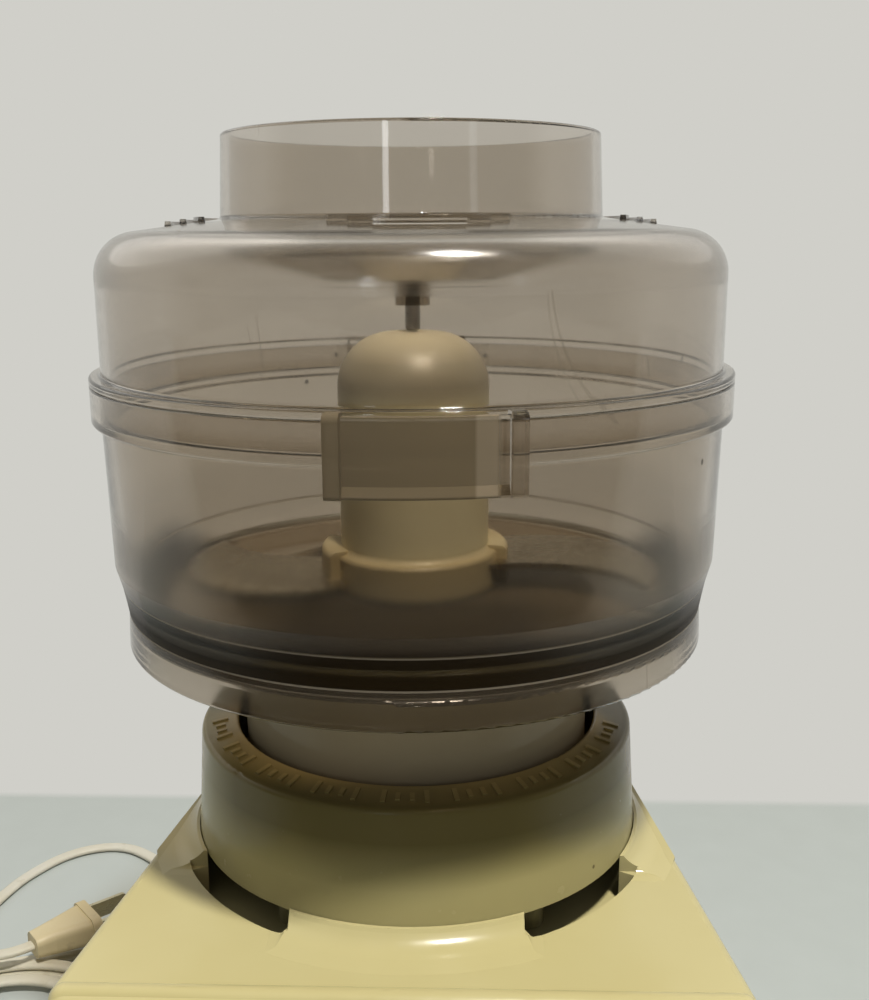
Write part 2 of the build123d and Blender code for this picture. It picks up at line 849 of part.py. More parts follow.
def drive_stud():
    """The square steel stud that drives whatever stands on the collar."""
    half = stud_side / 2
    foot = stud_z + stud_collar_height
    collar = rod(stud_side * stud_collar_share, stud_z + seat_gap, foot + over)
    square = block((-half, -half, foot), (half, half, foot + stud_length))
    square = chamfer(square.edges().group_by(Axis.Z)[-1], stud_bevel)
    return collar + square - rod(stud_thread_r + press_gap, stud_z, stud_z + stud_length - stud_tip)


def rotor_core():
    core = tube(rotor_r, shaft_r + press_gap, stack_z, stack_top_z)
    half = rotor_slot_width / 2
    slot_floor = rotor_r - rotor_slot_depth
    slot = block((slot_floor, -half, stack_z - over), (rotor_r + over, half, stack_top_z + over))
    for cut in around(slot, evenly(rotor_slots)):
        core -= cut
    return core


def rotor_windings():
    """The copper in the rotor's slots and its two end turns."""
    outer = rotor_r - winding_inset
    inner = shaft_r + winding_bore_wall
    low = stack_z - winding_gap
    high = stack_top_z + winding_gap
    winding = tube(outer, inner, stack_z - winding_overhang, low)
    winding += tube(outer, inner, high, stack_top_z + winding_overhang)
    half = rotor_slot_width / 2 - winding_gap
    bar_inner = rotor_r - rotor_slot_depth + winding_gap
    bar = block((bar_inner, -half, low - over), (rotor_r - winding_inset / 2, half, high + over))
    for piece in around(bar, evenly(rotor_slots)):
        winding += piece
    return winding


def commutator():
    high = stack_z - commutator_drop
    low = high - commutator_length
    bore = shaft_r + press_gap
    riser_r = commutator_r + riser_width
    drum = tube(commutator_r, bore, low, high) + tube(riser_r, bore, high - riser_width, high)
    half = slit_width / 2
    slit = block((commutator_r - slit_depth, -half, low - over), (riser_r + over, half, high + over))
    for cut in around(Rot(0, 0, 180 / rotor_slots) * slit, evenly(rotor_slots)):
        drum -= cut
    return drum


def brush_z():
    return stack_z - commutator_drop - commutator_length / 2


def carbon_brushes():
    start = commutator_r + brush_gap
    half = brush_side / 2
    brush = block((start, -half, brush_z() - half), (start + brush_length, half, brush_z() + half))
    return around(brush, (0, 180))


def brush_holders():
    """Two insulating boxes that stand on the lower bracket and guide the brushes."""
    inner = commutator_r + holder_gap
    outer = inner + brush_length + holder_extra
    half = holder_side / 2
    bore = brush_side / 2 + holder_slide
    body = block((inner, -half, low_bracket_top_z + seat_gap), (outer, half, brush_z() + half))
    body -= block((inner - over, -bore, brush_z() - bore), (outer + over, bore, brush_z() + bore))
    return around(body, (0, 180))


def cooling_fan():
    """A disc with straight blades on its upper side."""
    low = plate_top_face_z + fan_rise
    bore = shaft_r + press_gap
    hub = shaft_r + fan_hub_wall
    fan = tube(fan_r, bore, low, low + fan_disc) + tube(hub, bore, low, low + fan_height)
    half = fan_blade_thickness / 2
    blade = block((hub - over, -half, low + fan_disc / 2), (fan_r - 0.5, half, low + fan_height))
    for piece in around(blade, evenly(fan_blades)):
        fan += piece
    return fan


# ================================================================ controls
def speed_places():
    return [first_speed_x + button_pitch * i for i in range(speed_count)]


def slot_ends():
    """The slider's slot, from end to end of its neck's travel."""
    half = slider_width / 2 + slide_gap
    return (slider_x - half, slider_x + slider_travel + half)


def window_ends():
    """The window behind the panel, clear of every flange."""
    half = button_width / 2 + window_margin
    return (off_button_x - half, slider_x + slider_travel + slider_width / 2 + 2 * window_margin)


def ear_places():
    low, high = window_ends()
    return (low - ear_reach, high + ear_reach)


def front_panel():
    """The metal panel with a window for each control."""
    back = -panel_recess + seat_gap / 2
    half_width = panel_width / 2
    half_height = panel_height / 2
    plate = block((-half_width, -half_height, back), (half_width, half_height, back + panel_thickness))
    plate = fillet(plate.edges().filter_by(Axis.Z), panel_corner)
    window = Box(button_width + 2 * slide_gap, button_height + 2 * slide_gap, button_height)
    for x in [off_button_x, *speed_places()]:
        plate -= Pos(x, 0, 0) * window
    low, high = slot_ends()
    half = slider_height / 2 + slide_gap
    plate -= block((low, -half, back - over), (high, half, back + panel_thickness + over))
    return front_plane() * plate


def button(x):
    """One push button: its cap, the flange that keeps it in and the stem into the switch."""
    behind = -panel_recess - seat_gap
    half_x, half_y = button_width / 2, button_height / 2
    cap = block((-half_x, -half_y, behind - button_flange / 2), (half_x, half_y, button_proud))
    cap = fillet(cap.edges().group_by(Axis.Z)[-1], button_round)
    rim_x, rim_y = half_x + flange_rim, half_y + flange_rim
    flange = block((-rim_x, -rim_y, behind - button_flange), (rim_x, rim_y, behind))
    stem_x, stem_y = stem_width / 2, stem_height / 2
    stem = block((-stem_x, -stem_y, behind - stem_length), (stem_x, stem_y, behind - button_flange / 2))
    return front_plane() * Pos(x, 0, 0) * (cap + flange + stem)


def range_slider():
    """The two-position slider, with three grip grooves across its top."""
    behind = -panel_recess - seat_gap
    knob_top = button_proud - slider_drop
    half_x, half_y = slider_width / 2, slider_height / 2
    neck = block((-half_x, -half_y, behind - button_flange / 2), (half_x, half_y, knob_top))
    rim_x, rim_y = half_x + slider_flange, half_y + slider_flange / 2
    flange = block((-rim_x, -rim_y, behind - button_flange), (rim_x, rim_y, behind))
    for i in (-1, 0, 1):
        neck -= Pos(i * slider_width / 4, 0, knob_top) * Box(grip_groove, slider_height, grip_groove)
    return front_plane() * Pos(slider_x, 0, 0) * (neck + flange)


def switch_block():
    low, high = window_ends()
    ears = ear_places()
    back = -block_gap - block_depth
    front = -block_gap - seat_gap
    body = block((low, -block_height / 2, back), (high, block_height / 2, front))
    ear_low = (ears[0] - ear_half, -block_height / 4, front - ear_thickness)
    body += block(ear_low, (ears[1] + ear_half, block_height / 4, front))
    hole = Box(stem_width + 2 * slide_gap, stem_height + 2 * slide_gap, 2 * (block_depth - block_wall))
    for x in [off_button_x, *speed_places()]:
        body -= Pos(x, 0, front) * hole
    for x in ears:
        body -= Pos(x, 0, 0) * rod(screw_hole_r, back - over, front + over)
    return front_plane() * body


def switch_screws():
    """Two screws through the ears into the posts behind the panel."""
    under = -block_gap - seat_gap - ear_thickness
    places = [(x, 0) for x in ear_places()]
    length = ear_thickness + seat_gap + switch_screw_bite
    return [front_plane() * piece for piece in screws(places, under, length)]


# ================================================================ bowl
def bowl():
    """The clear shell: neck, skirt, floor with its middle pipe, tapered wall and the lid's band."""
    under_floor = floor_z - floor_thickness
    pipe_bore_r = output_r + bush_wall + press_gap
    bush_housing_r = pipe_bore_r + pipe_wall
    bush_housing_z = under_floor - bush_housing_drop
    step_z = band_z + band_step
    profile = [
        (pipe_bore_r, bush_housing_z),
        (bush_housing_r, bush_housing_z),
        (bush_housing_r, under_floor),
        (neck_inner_r, under_floor),
        (neck_inner_r, bowl_z),
        (neck_r, bowl_z, edge_break),
        (neck_r, under_floor, 2.0),
        (skirt_r - smoke_wall, under_floor, 1.5),
        (skirt_r - smoke_wall, skirt_z),
        (skirt_r, skirt_z, edge_break),
        (skirt_r - skirt_draft, floor_z - skirt_line_drop),
        (bowl_foot_r, floor_z + foot_line_rise),
        (bowl_mid_r, floor_z + mid_line_rise),
        (bowl_top_r, band_z, edge_break),
        (band_r, band_z, edge_break),
        (band_r, rim_top_z, 0.5),
        (band_r - band_wall, rim_top_z),
        (band_r - band_wall, step_z),
        (bowl_top_r - smoke_wall, step_z, 0.5),
        (bowl_foot_r - smoke_wall, floor_z, floor_round),
        (pipe_r, floor_z, 2.0),
        (pipe_r, pipe_top_z),
        (pipe_bore_r, pipe_top_z),
    ]
    shell = lathe(profile)
    # ribs on the neck, each beside one of the collar's keys
    beside = math.degrees((key_width + slide_gap) / collar_bore_r)
    rib_low = (neck_r - over, -key_width / 2, bowl_z + over)
    rib = block(rib_low, (collar_bore_r - bowl_gap, key_width / 2, bowl_z + key_height))
    for piece in around(Rot(0, 0, beside) * rib, key_angles()):
        shell += piece
    return shell


def gear_cover():
    """The disc that closes the gear case from below, with a collar for the input bush."""
    bore = input_r + bush_wall + press_gap
    disc = tube(neck_inner_r - slide_gap, bore, cover_z, cover_top_z)
    disc += tube(bore + cover_collar_wall, bore, cover_z, cover_top_z + cover_collar_height)
    for hole in rods(cover_places(), screw_hole_r, cover_z - over, cover_top_z + over):
        disc -= hole
    return disc


def cover_places():
    """The cover's screws sit between the planet gears."""
    return [polar(cover_screw_place_r, angle + 180 / planet_count) for angle in evenly(planet_count)]


def cover_screws():
    return screws(cover_places(), cover_z, cover_thickness + cover_screw_bite)


def tooth_ring(teeth, pitch_r, inside=False):
    """A gear's outline with straight-sided teeth. inside=True points the teeth inwards."""
    pitch_angle = 360 / teeth
    out = -1 if inside else 1
    tip_r = pitch_r + out * tooth_addendum * gear_module
    root_r = pitch_r - out * tooth_dedendum * gear_module
    half = tooth_thickness * math.pi * gear_module / 2
    tip_half = math.degrees((half - tooth_slope * tooth_addendum * gear_module) / tip_r)
    root_half = math.degrees((half + tooth_slope * tooth_dedendum * gear_module) / root_r)
    points = []
    for i in range(teeth):
        middle = pitch_angle * i
        points += [polar(root_r, middle - root_half), polar(tip_r, middle - tip_half)]
        points += [polar(tip_r, middle + tip_half), polar(root_r, middle + root_half)]
    return make_face(Polyline(*points, close=True))


def ring_gear():
    """The fixed ring: a tall sleeve inside the neck with teeth at the planets' height."""
    under_floor = floor_z - floor_thickness
    clear_r = pitch_ring + tooth_dedendum * gear_module + ring_clearance
    body = tube(neck_inner_r - slide_gap, pitch_planet, cover_top_z + seat_gap, under_floor - seat_gap)
    body -= rod(clear_r, cover_top_z, gear_z - ring_tooth_overlap)
    body -= rod(clear_r, gear_top_z + ring_tooth_overlap, under_floor)
    teeth = extrude(tooth_ring(ring_teeth, pitch_ring, inside=True), gear_width + 2 * over)
    body -= Pos(0, 0, gear_z - over) * teeth
    for x, y in cover_places():
        body -= Pos(x, y, cover_top_z) * screw_bore(cover_screw_bite)
    return body


def sun_gear():
    gear = Pos(0, 0, gear_z) * extrude(tooth_ring(sun_teeth, pitch_sun), gear_width)
    return gear - rod(sun_bore_r + press_gap, gear_z - over, gear_top_z + over)


def input_coupling():
    """The steel piece under the bowl whose square socket drops over the motor's stud."""
    foot = stud_z + stud_collar_height
    low = foot + over + coupling_gap
    top = cover_z - coupling_gap / 2
    piece = rod(socket_r, low, top) + rod(input_r, top - over, gear_z)
    piece += rod(sun_bore_r, gear_z - over, gear_top_z)
    half = stud_side / 2 + slide_gap
    return piece - block((-half, -half, low - over), (half, half, foot + stud_length + coupling_gap / 2))


def input_bush():
    return tube(input_r + bush_wall, input_r + running_gap, cover_z, cover_top_z + cover_collar_height)


def planet_gear(angle):
    """A planet gear whose tooth gaps face the sun's tooth and the ring's tooth."""
    gear = Pos(0, 0, gear_z) * extrude(tooth_ring(planet_teeth, pitch_planet), gear_width)
    gear = Rot(0, 0, 180 / planet_teeth) * gear
    gear -= rod(planet_pin_r + running_gap, gear_z - over, gear_top_z + over)
    return Rot(0, 0, angle) * Pos(planet_place_r, 0, 0) * gear


def planet_carrier():
    """The disc that carries the planets' pins, and the output shaft with two flats at its top."""
    carrier_top_z = carrier_z + carrier_thickness
    disc = rod(planet_place_r + carrier_rim, carrier_z, carrier_top_z)
    for hole in rods(planet_places(), planet_pin_r + press_gap, carrier_z - over, carrier_top_z + over):
        disc -= hole
    shaft = rod(output_r, carrier_z, hub_socket_z() - over)
    flats = block((-drive_flats / 2, -output_r, 0), (drive_flats / 2, output_r, through))
    return disc + shaft + (rod(output_r, hub_socket_z() - 2 * over, hub_socket_z() + drive_length) & flats)


def planet_places():
    return [polar(planet_place_r, angle) for angle in evenly(planet_count)]


def hub_socket_z():
    """Where the hub's drive socket starts, above the pipe in the bowl's middle."""
    return pipe_top_z + seal_height + 1.0


def planet_pins():
    """Each pin stands in the carrier and keeps its planet up with its head."""
    head_z = gear_z - seat_gap
    pin = rod(planet_pin_r, head_z - over, carrier_z + carrier_thickness)
    pin += rod(planet_pin_r + pin_head, head_z - pin_head, head_z)
    return [Pos(x, y, 0) * pin for x, y in planet_places()]


def output_bushes():
    """A bush at each end of the bowl's middle pipe."""
    outer = output_r + bush_wall
    inner = output_r + running_gap
    low = floor_z - floor_thickness - bush_housing_drop
    high = pipe_top_z - seat_gap
    return [tube(outer, inner, low, low + bush_length), tube(outer, inner, high - bush_length, high)]


def shaft_seal():
    """A flat rubber ring with a sloping top, on the pipe's end."""
    low = pipe_top_z + seat_gap
    bore = output_r + seal_gap
    rim = (pipe_r - seal_slope, low + seal_height - 2 * seal_slope)
    return lathe([(bore, low), (pipe_r, low), rim, (bore, low + seal_height - seat_gap)])


# ================================================================ blade hub
def wing(low):
    """One curved blade, as a flat steel wing with a bevelled leading edge."""
    root_r = hub_r + blade_root_gap
    root_lead = polar(root_r, wing_lead_angle)
    root_trail = polar(root_r, wing_trail_angle)
    lead_mid = polar(0.78 * blade_tip_r, wing_lead_angle - 20)
    trail_mid = polar(0.62 * blade_tip_r, wing_trail_angle + 20)
    tip = polar(blade_tip_r, -tip_half_angle)
    tip_lead = polar(blade_tip_r, tip_half_angle)
    edge = ThreePointArc(root_lead, lead_mid, tip_lead)
    nose = Line(tip_lead, tip)
    back = ThreePointArc(tip, trail_mid, root_trail)
    root = Line(root_trail, root_lead)
    plate = Pos(0, 0, low) * extrude(make_face([edge, nose, back, root]), blade_thickness)
    top = plate.edges().group_by(Axis.Z)[-1]
    lead = top.sort_by(Edge.length)[-1]
    return chamfer(lead, bevel_height, bevel_width) - rod(hub_r - blade_seat, 0, through)


def blade_low():
    return Rot(0, 0, blade_heading) * wing(hub_z + low_blade_rise)


def blade_high():
    return Rot(0, 0, blade_heading + 180) * wing(hub_z + high_blade_rise)


def blade_hub():
    """The hollow domed hub: a flange with two lugs, and a socket for the shaft's flats."""
    inner_r = hub_r - hub_wall
    inner_top = hub_socket_z() - 0.5
    flange_top = hub_z + flange_height
    profile = [
        (inner_r, hub_z),
        (flange_r, hub_z, 0.8),
        (flange_r, flange_top, 1.0),
        (hub_r, flange_top, 1.5),
        (hub_r, hub_top_z, hub_round),
        (0, hub_top_z),
        (0, inner_top),
        (inner_r, inner_top, 2.0),
    ]
    hub = lathe(profile)
    lug_top = flange_top + lug_rise
    lug = [(hub_r - over, hub_z), (lug_r, hub_z, 0.8), (lug_r, lug_top, 1.5), (hub_r - over, lug_top)]
    for angle in (0, 180):
        hub += lathe(lug, 2 * lug_half_angle, angle + blade_heading + lug_turn - lug_half_angle)
    socket = rod(output_r + slide_gap, inner_top - over, inner_top + drive_length + 1.5)
    half = drive_flats / 2 + slide_gap
    flats = block((-half, -hub_r, 0), (half, hub_r, through))
    return hub - (socket & flats) - blade_low() - blade_high()


# ================================================================ lid
def catch():
    """One catch tab: a channel with two side rails that hangs down in front of the bowl's band."""
    inner = band_r + slide_gap
    outer = inner + catch_web
    rail_top = lip_z + lip_thickness
    top = rail_top - lip_thickness / 2
    low = rail_top - catch_height
    half = math.degrees(catch_width / 2 / (inner + catch_depth / 2))
    rail = math.degrees(catch_rail / inner)
    web = [(inner, low), (outer, low), (outer, top), (inner, top)]
    foot_top = low + catch_foot
    foot = [(inner, low), (outer + catch_foot_lip, low, 0.5), (outer, foot_top), (inner, foot_top)]
    root = [(lid_r - 0.5, lip_z), (inner + 0.5, lip_z), (inner + 0.5, top), (lid_r - 0.5, top)]
    tab_shape = lathe(web, 2 * half, -half) + lathe(foot, 2 * half, -half) + lathe(root, 2 * half, -half)
    outer = inner + catch_depth
    side = [(inner, low), (outer, low, 0.8), (outer, rail_top, 1.6), (inner, rail_top)]
    return tab_shape + lathe(side, rail, -half) + lathe(side, rail, half - rail)


def lid():
    """The clear lid: a rounded drum, a lip over the band, and a ring round a dished middle."""
    inner = lid_r - smoke_wall
    foot = band_z + band_step + bowl_gap
    top = plate_top_z + chimney_height
    dish_z = plate_top_z - smoke_wall - dish_drop
    bottom = dish_low_z()
    profile = [
        (inner, foot),
        (lid_r, foot, 0.5),
        (lid_r, lip_z),
        (band_r, lip_z),
        (band_r, lip_z + lip_thickness, lip_round),
        (lid_r, lip_z + lip_thickness, lip_round),
        (lid_r, plate_edge_z, shoulder_round),
        (chimney_r, plate_top_z, edge_break),
        (chimney_top_r, top, lip_round),
        (chimney_top_r - smoke_wall, top, lip_round),
        (chimney_r - smoke_wall, dish_z + smoke_wall, dish_round),
        (lobe_r, bottom + smoke_wall + lobe_depth, lobe_round),
        (lobe_r - lobe_width, bottom + smoke_wall + lobe_step, lobe_round),
        (0, bottom + smoke_wall),
        (0, bottom),
        (lobe_r - lobe_width, bottom + lobe_step, lobe_round),
        (lobe_r, bottom + lobe_depth, lobe_round),
        (chimney_r - 1.2, dish_z, dish_drop - 0.6),
        (chimney_r - 1.0, plate_top_z - smoke_wall),
        (inner, plate_edge_z - smoke_wall, shoulder_round - smoke_wall),
    ]
    shell = lathe(profile)
    for piece in around(catch(), (90, 270)):
        shell += piece
    # the boss that holds the pin, and the slotted collar above it
    shell += rod(boss_r, bottom - boss_drop, bottom + smoke_wall)
    shell += rod(fork_r, bottom + smoke_wall / 2, bottom + smoke_wall + fork_height)
    half = fork_gap / 2
    slot_z = bottom + smoke_wall + seat_gap
    shell -= block((-half, -fork_r, slot_z), (half, fork_r, slot_z + fork_height))
    shell -= rod(pin_r + press_gap, bottom - boss_drop - over, pin_top_z())
    for arc in motif():
        for mark in around(arc, tab_angles):
            shell += mark
    return Rot(0, 0, lid_turn) * shell


def dish_low_z():
    """The underside of the lid's dished middle."""
    return plate_top_z - smoke_wall - dish_drop - dish_depth


def pin_top_z():
    """The blind end of the pin's hole, just below the dish's upper face."""
    return dish_low_z() + smoke_wall - 2 * seat_gap


def motif():
    """A plain raised mark of nested arcs that follow the ring, on the plate's slope."""
    fall = (plate_top_z - plate_edge_z) / (lid_r - chimney_r)
    arcs = []
    for i in range(motif_arcs):
        radius = chimney_r + motif_start + motif_pitch * i
        z = plate_top_z - fall * (radius - chimney_r)
        foot_half, top_half = motif_width / 2, motif_width / 3
        bead = [
            (radius - foot_half, z - over),
            (radius + foot_half, z - over),
            (radius + top_half, z + motif_rise),
            (radius - top_half, z + motif_rise),
        ]
        half = motif_half_angle - motif_step * i
        arcs.append(lathe(bead, 2 * half, -half))
    return arcs


def lid_pin():
    pin = rod(pin_r, hub_top_z + pin_gap, pin_top_z() - seat_gap / 2)
    return chamfer(pin.edges().group_by(Axis.Z)[0], 0.4)


# ================================================================ lead
def tube_radii(route):
    """Each corner's arc is as large as its two runs allow."""
    radii = []
    points = [Vector(*p) for p in route]
    for a, b, c in zip(points, points[1:], points[2:]):
        turn = math.radians((b - a).get_angle(c - b))
        radii.append(0.45 * min((b - a).length, (c - b).length) / math.tan(turn / 2))
    return radii


def cord_tube(route):
    radii = tube_radii(route)
    path = FilletPolyline(*route, radius=radii)
    start = Plane(origin=path @ 0, z_dir=path % 0)
    return sweep(start * Circle(cord_r), path)


def cord_coil():
    """The outer shape of the turns that lie beside the base."""
    profile = [
        (coil_inner_r, 0, coil_round),
        (coil_outer_r, 0, coil_round),
        (coil_outer_r, coil_height, coil_round),
        (coil_inner_r, coil_height, coil_round),
    ]
    return Pos(coil_x, coil_y, 0) * lathe(profile)


def relief_hole_r():
    return relief_r - relief_groove + slide_gap


def strain_relief():
    """The tapered sleeve in the back wall, on an axis that points backwards."""
    back = base_depth / 2
    hole_r = relief_r - relief_groove
    inside = back - relief_seat
    outside = back + seat_gap
    profile = [
        (0, inside - relief_inner_flange),
        (hole_r + relief_flange, inside - relief_inner_flange),
        (hole_r + relief_flange, inside),
        (hole_r, inside),
        (hole_r, outside),
        (hole_r + relief_flange, outside, 0.6),
        (hole_r + relief_flange, back + relief_flange, 0.6),
        (relief_r, back + relief_flange),
        (relief_tip_r, back + relief_length),
        (0, back + relief_length),
    ]
    return Pos(0, 0, relief_z) * Rot(-90, 0, 0) * lathe(profile)


def plug_plane():
    x, y, z = tail_route[-1]
    turn = math.radians(plug_heading)
    ahead = (math.cos(turn), math.sin(turn), 0)
    across = (-math.sin(turn), math.cos(turn), 0)
    return Plane(origin=(x, y, z), x_dir=across, z_dir=ahead)


def plug_body():
    """A two-prong plug: a tapered grip that widens to a rimmed face."""
    grip_width = plug_face_width - 2 * plug_face_rim
    grip_height = plug_face_height - plug_face_rim
    small = Pos(0, 0, 0.1) * RectangleRounded(plug_neck_width, plug_neck_height, 2.8)
    middle = Pos(0, 0, plug_neck) * RectangleRounded(plug_neck_width + 1.6, plug_neck_height + 1.6, 3.2)
    large = Pos(0, 0, plug_length - plug_face_depth) * RectangleRounded(grip_width, grip_height, 3.2)
    body = loft([small, middle]) + loft([middle, large])
    rim = extrude(RectangleRounded(plug_face_width, plug_face_height, 3.4), plug_face_depth)
    return plug_plane() * (body + Pos(0, 0, plug_length - plug_face_depth) * rim)


def plug_prongs():
    half = prong_thickness / 2
    near = plug_length + head_gap
    blade = block((-half, -prong_width / 2, near), (half, prong_width / 2, near + prong_length))
    blade = fillet(blade.edges().filter_by(Axis.X).group_by(Axis.Z)[-1], prong_width / 4)
    return [plug_plane() * Pos(side * prong_spread / 2, 0, 0) * blade for side in (-1, 1)]


# ================================================================ write every piece
os.makedirs("parts", exist_ok=True)

save("base_housing", base_housing())
save("base_plate", base_plate())
save("feet", feet())
save("plate_screws", plate_screws())
save("collar_ring", collar_ring())
save("motor_top_bracket", motor_top_bracket())
save("motor_bottom_bracket", motor_bottom_bracket())
save("motor_bearings", motor_bearings())
save("motor_bolts", motor_bolts())
save("mount_screws", mount_screws())
save("motor_stator", motor_stator())
save("field_coils", field_coils())
save("motor_shaft", motor_shaft())
save("drive_stud", drive_stud())
save("rotor_core", rotor_core())
save("rotor_windings", rotor_windings())
save("commutator", commutator())
save("carbon_brushes", carbon_brushes())
save("brush_holders", brush_holders())
save("cooling_fan", cooling_fan())
save("front_panel", front_panel())
save("off_button", button(off_button_x))
for number, place in enumerate(speed_places(), start=1):
    save(f"speed_button_{number}", button(place))
save("range_slider", range_slider())
save("switch_block", switch_block())
save("switch_screws", switch_screws())
save("bowl", bowl())
save("gear_cover", gear_cover())
save("cover_screws", cover_screws())
save("ring_gear", ring_gear())
save("sun_gear", sun_gear())
save("input_coupling", input_coupling())
save("input_bush", input_bush())
for number, angle in enumerate(evenly(planet_count), start=1):
    save(f"planet_gear_{number}", planet_gear(angle))
save("planet_carrier", planet_carrier())
save("planet_pins", planet_pins())
save("output_bushes", output_bushes())
save("shaft_seal", shaft_seal())
save("blade_hub", blade_hub())
save("blade_low", blade_low())
save("blade_high", blade_high())
save("lid", lid())
save("lid_pin", lid_pin())
save("cord_lead", cord_tube(lead_route))
save("cord_tail", cord_tube(tail_route))
save("cord_coil", cord_coil())
save("strain_relief", strain_relief())
save("plug_body", plug_body())
save("plug_prongs", plug_prongs())
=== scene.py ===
"""How the food processor looks: its materials, its lead, the floor, the lamps and the camera.

Metres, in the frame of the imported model: +Z up, -Y the front. Lengths that read better in millimetres
are written as a number times MM.
"""

import json
import math

import bmesh
import bpy
from mathutils import Matrix, Vector


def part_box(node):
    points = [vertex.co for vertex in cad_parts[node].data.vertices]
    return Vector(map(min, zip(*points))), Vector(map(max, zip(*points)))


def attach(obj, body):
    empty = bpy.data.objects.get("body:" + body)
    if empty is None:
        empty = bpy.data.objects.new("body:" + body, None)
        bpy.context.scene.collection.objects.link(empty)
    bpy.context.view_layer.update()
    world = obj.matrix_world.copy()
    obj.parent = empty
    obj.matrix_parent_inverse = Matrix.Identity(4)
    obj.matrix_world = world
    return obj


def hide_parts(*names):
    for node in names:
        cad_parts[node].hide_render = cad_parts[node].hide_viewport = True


MM = 0.001

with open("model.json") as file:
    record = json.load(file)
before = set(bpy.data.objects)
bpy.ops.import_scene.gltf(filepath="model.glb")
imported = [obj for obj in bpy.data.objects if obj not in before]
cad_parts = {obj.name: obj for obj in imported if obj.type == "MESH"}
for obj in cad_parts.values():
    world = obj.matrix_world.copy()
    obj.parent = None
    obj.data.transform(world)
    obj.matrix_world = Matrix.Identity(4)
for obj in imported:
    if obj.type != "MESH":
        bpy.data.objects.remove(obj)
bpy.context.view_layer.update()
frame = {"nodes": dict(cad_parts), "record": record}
scene = bpy.context.scene


# ---------------------------------------------------------------- colours
def linear(red, green, blue):
    """A shader colour from the 0 to 255 values that a screen shows."""
    shares = [value / 255 for value in (red, green, blue)]
    return (*[s / 12.92 if s <= 0.04045 else ((s + 0.055) / 1.055) ** 2.4 for s in shares], 1.0)


backdrop_colour = linear(208, 207, 201)
floor_colour = linear(200, 207, 203)
floor_patches = linear(180, 186, 181)
floor_bounce = (0.1, 0.1, 0.1, 1.0)
room_colour = linear(58, 56, 52)  # what mirrors in the surfaces that face the front
room_top_light = 0.26
room_side_light = 0.075
room_light_colour = (1.0, 0.98, 0.94, 1.0)
daylight = (0.95, 0.97, 1.0)
lamp_light = (1.0, 0.97, 0.92)
plastic_bounce = (0.03, 0.028, 0.016, 1.0)
plastic_dirt = linear(96, 84, 52)


# ---------------------------------------------------------------- camera
def make_camera():
    """The photograph's view: a wide lens close in front, level with the lid's ring and tipped down."""
    place = Vector((5, -280, 273)) * MM
    pitch = math.radians(13.15)
    roll = math.radians(-0.32)
    heading = math.radians(2.0)  # how far the camera goes round to the right
    focal_share = 1.15  # focal length as a share of the picture's height
    data = bpy.data.cameras.new("camera")
    data.sensor_width = 36.0
    data.lens = data.sensor_width * focal_share
    data.clip_start = 10 * MM
    camera = bpy.data.objects.new("camera", data)
    turn = Matrix.Rotation(math.pi / 2 - pitch, 4, "X") @ Matrix.Rotation(roll, 4, "Z")
    camera.matrix_world = Matrix.Rotation(heading, 4, "Z") @ Matrix.Translation(place) @ turn
    scene.collection.objects.link(camera)
    scene.camera = camera


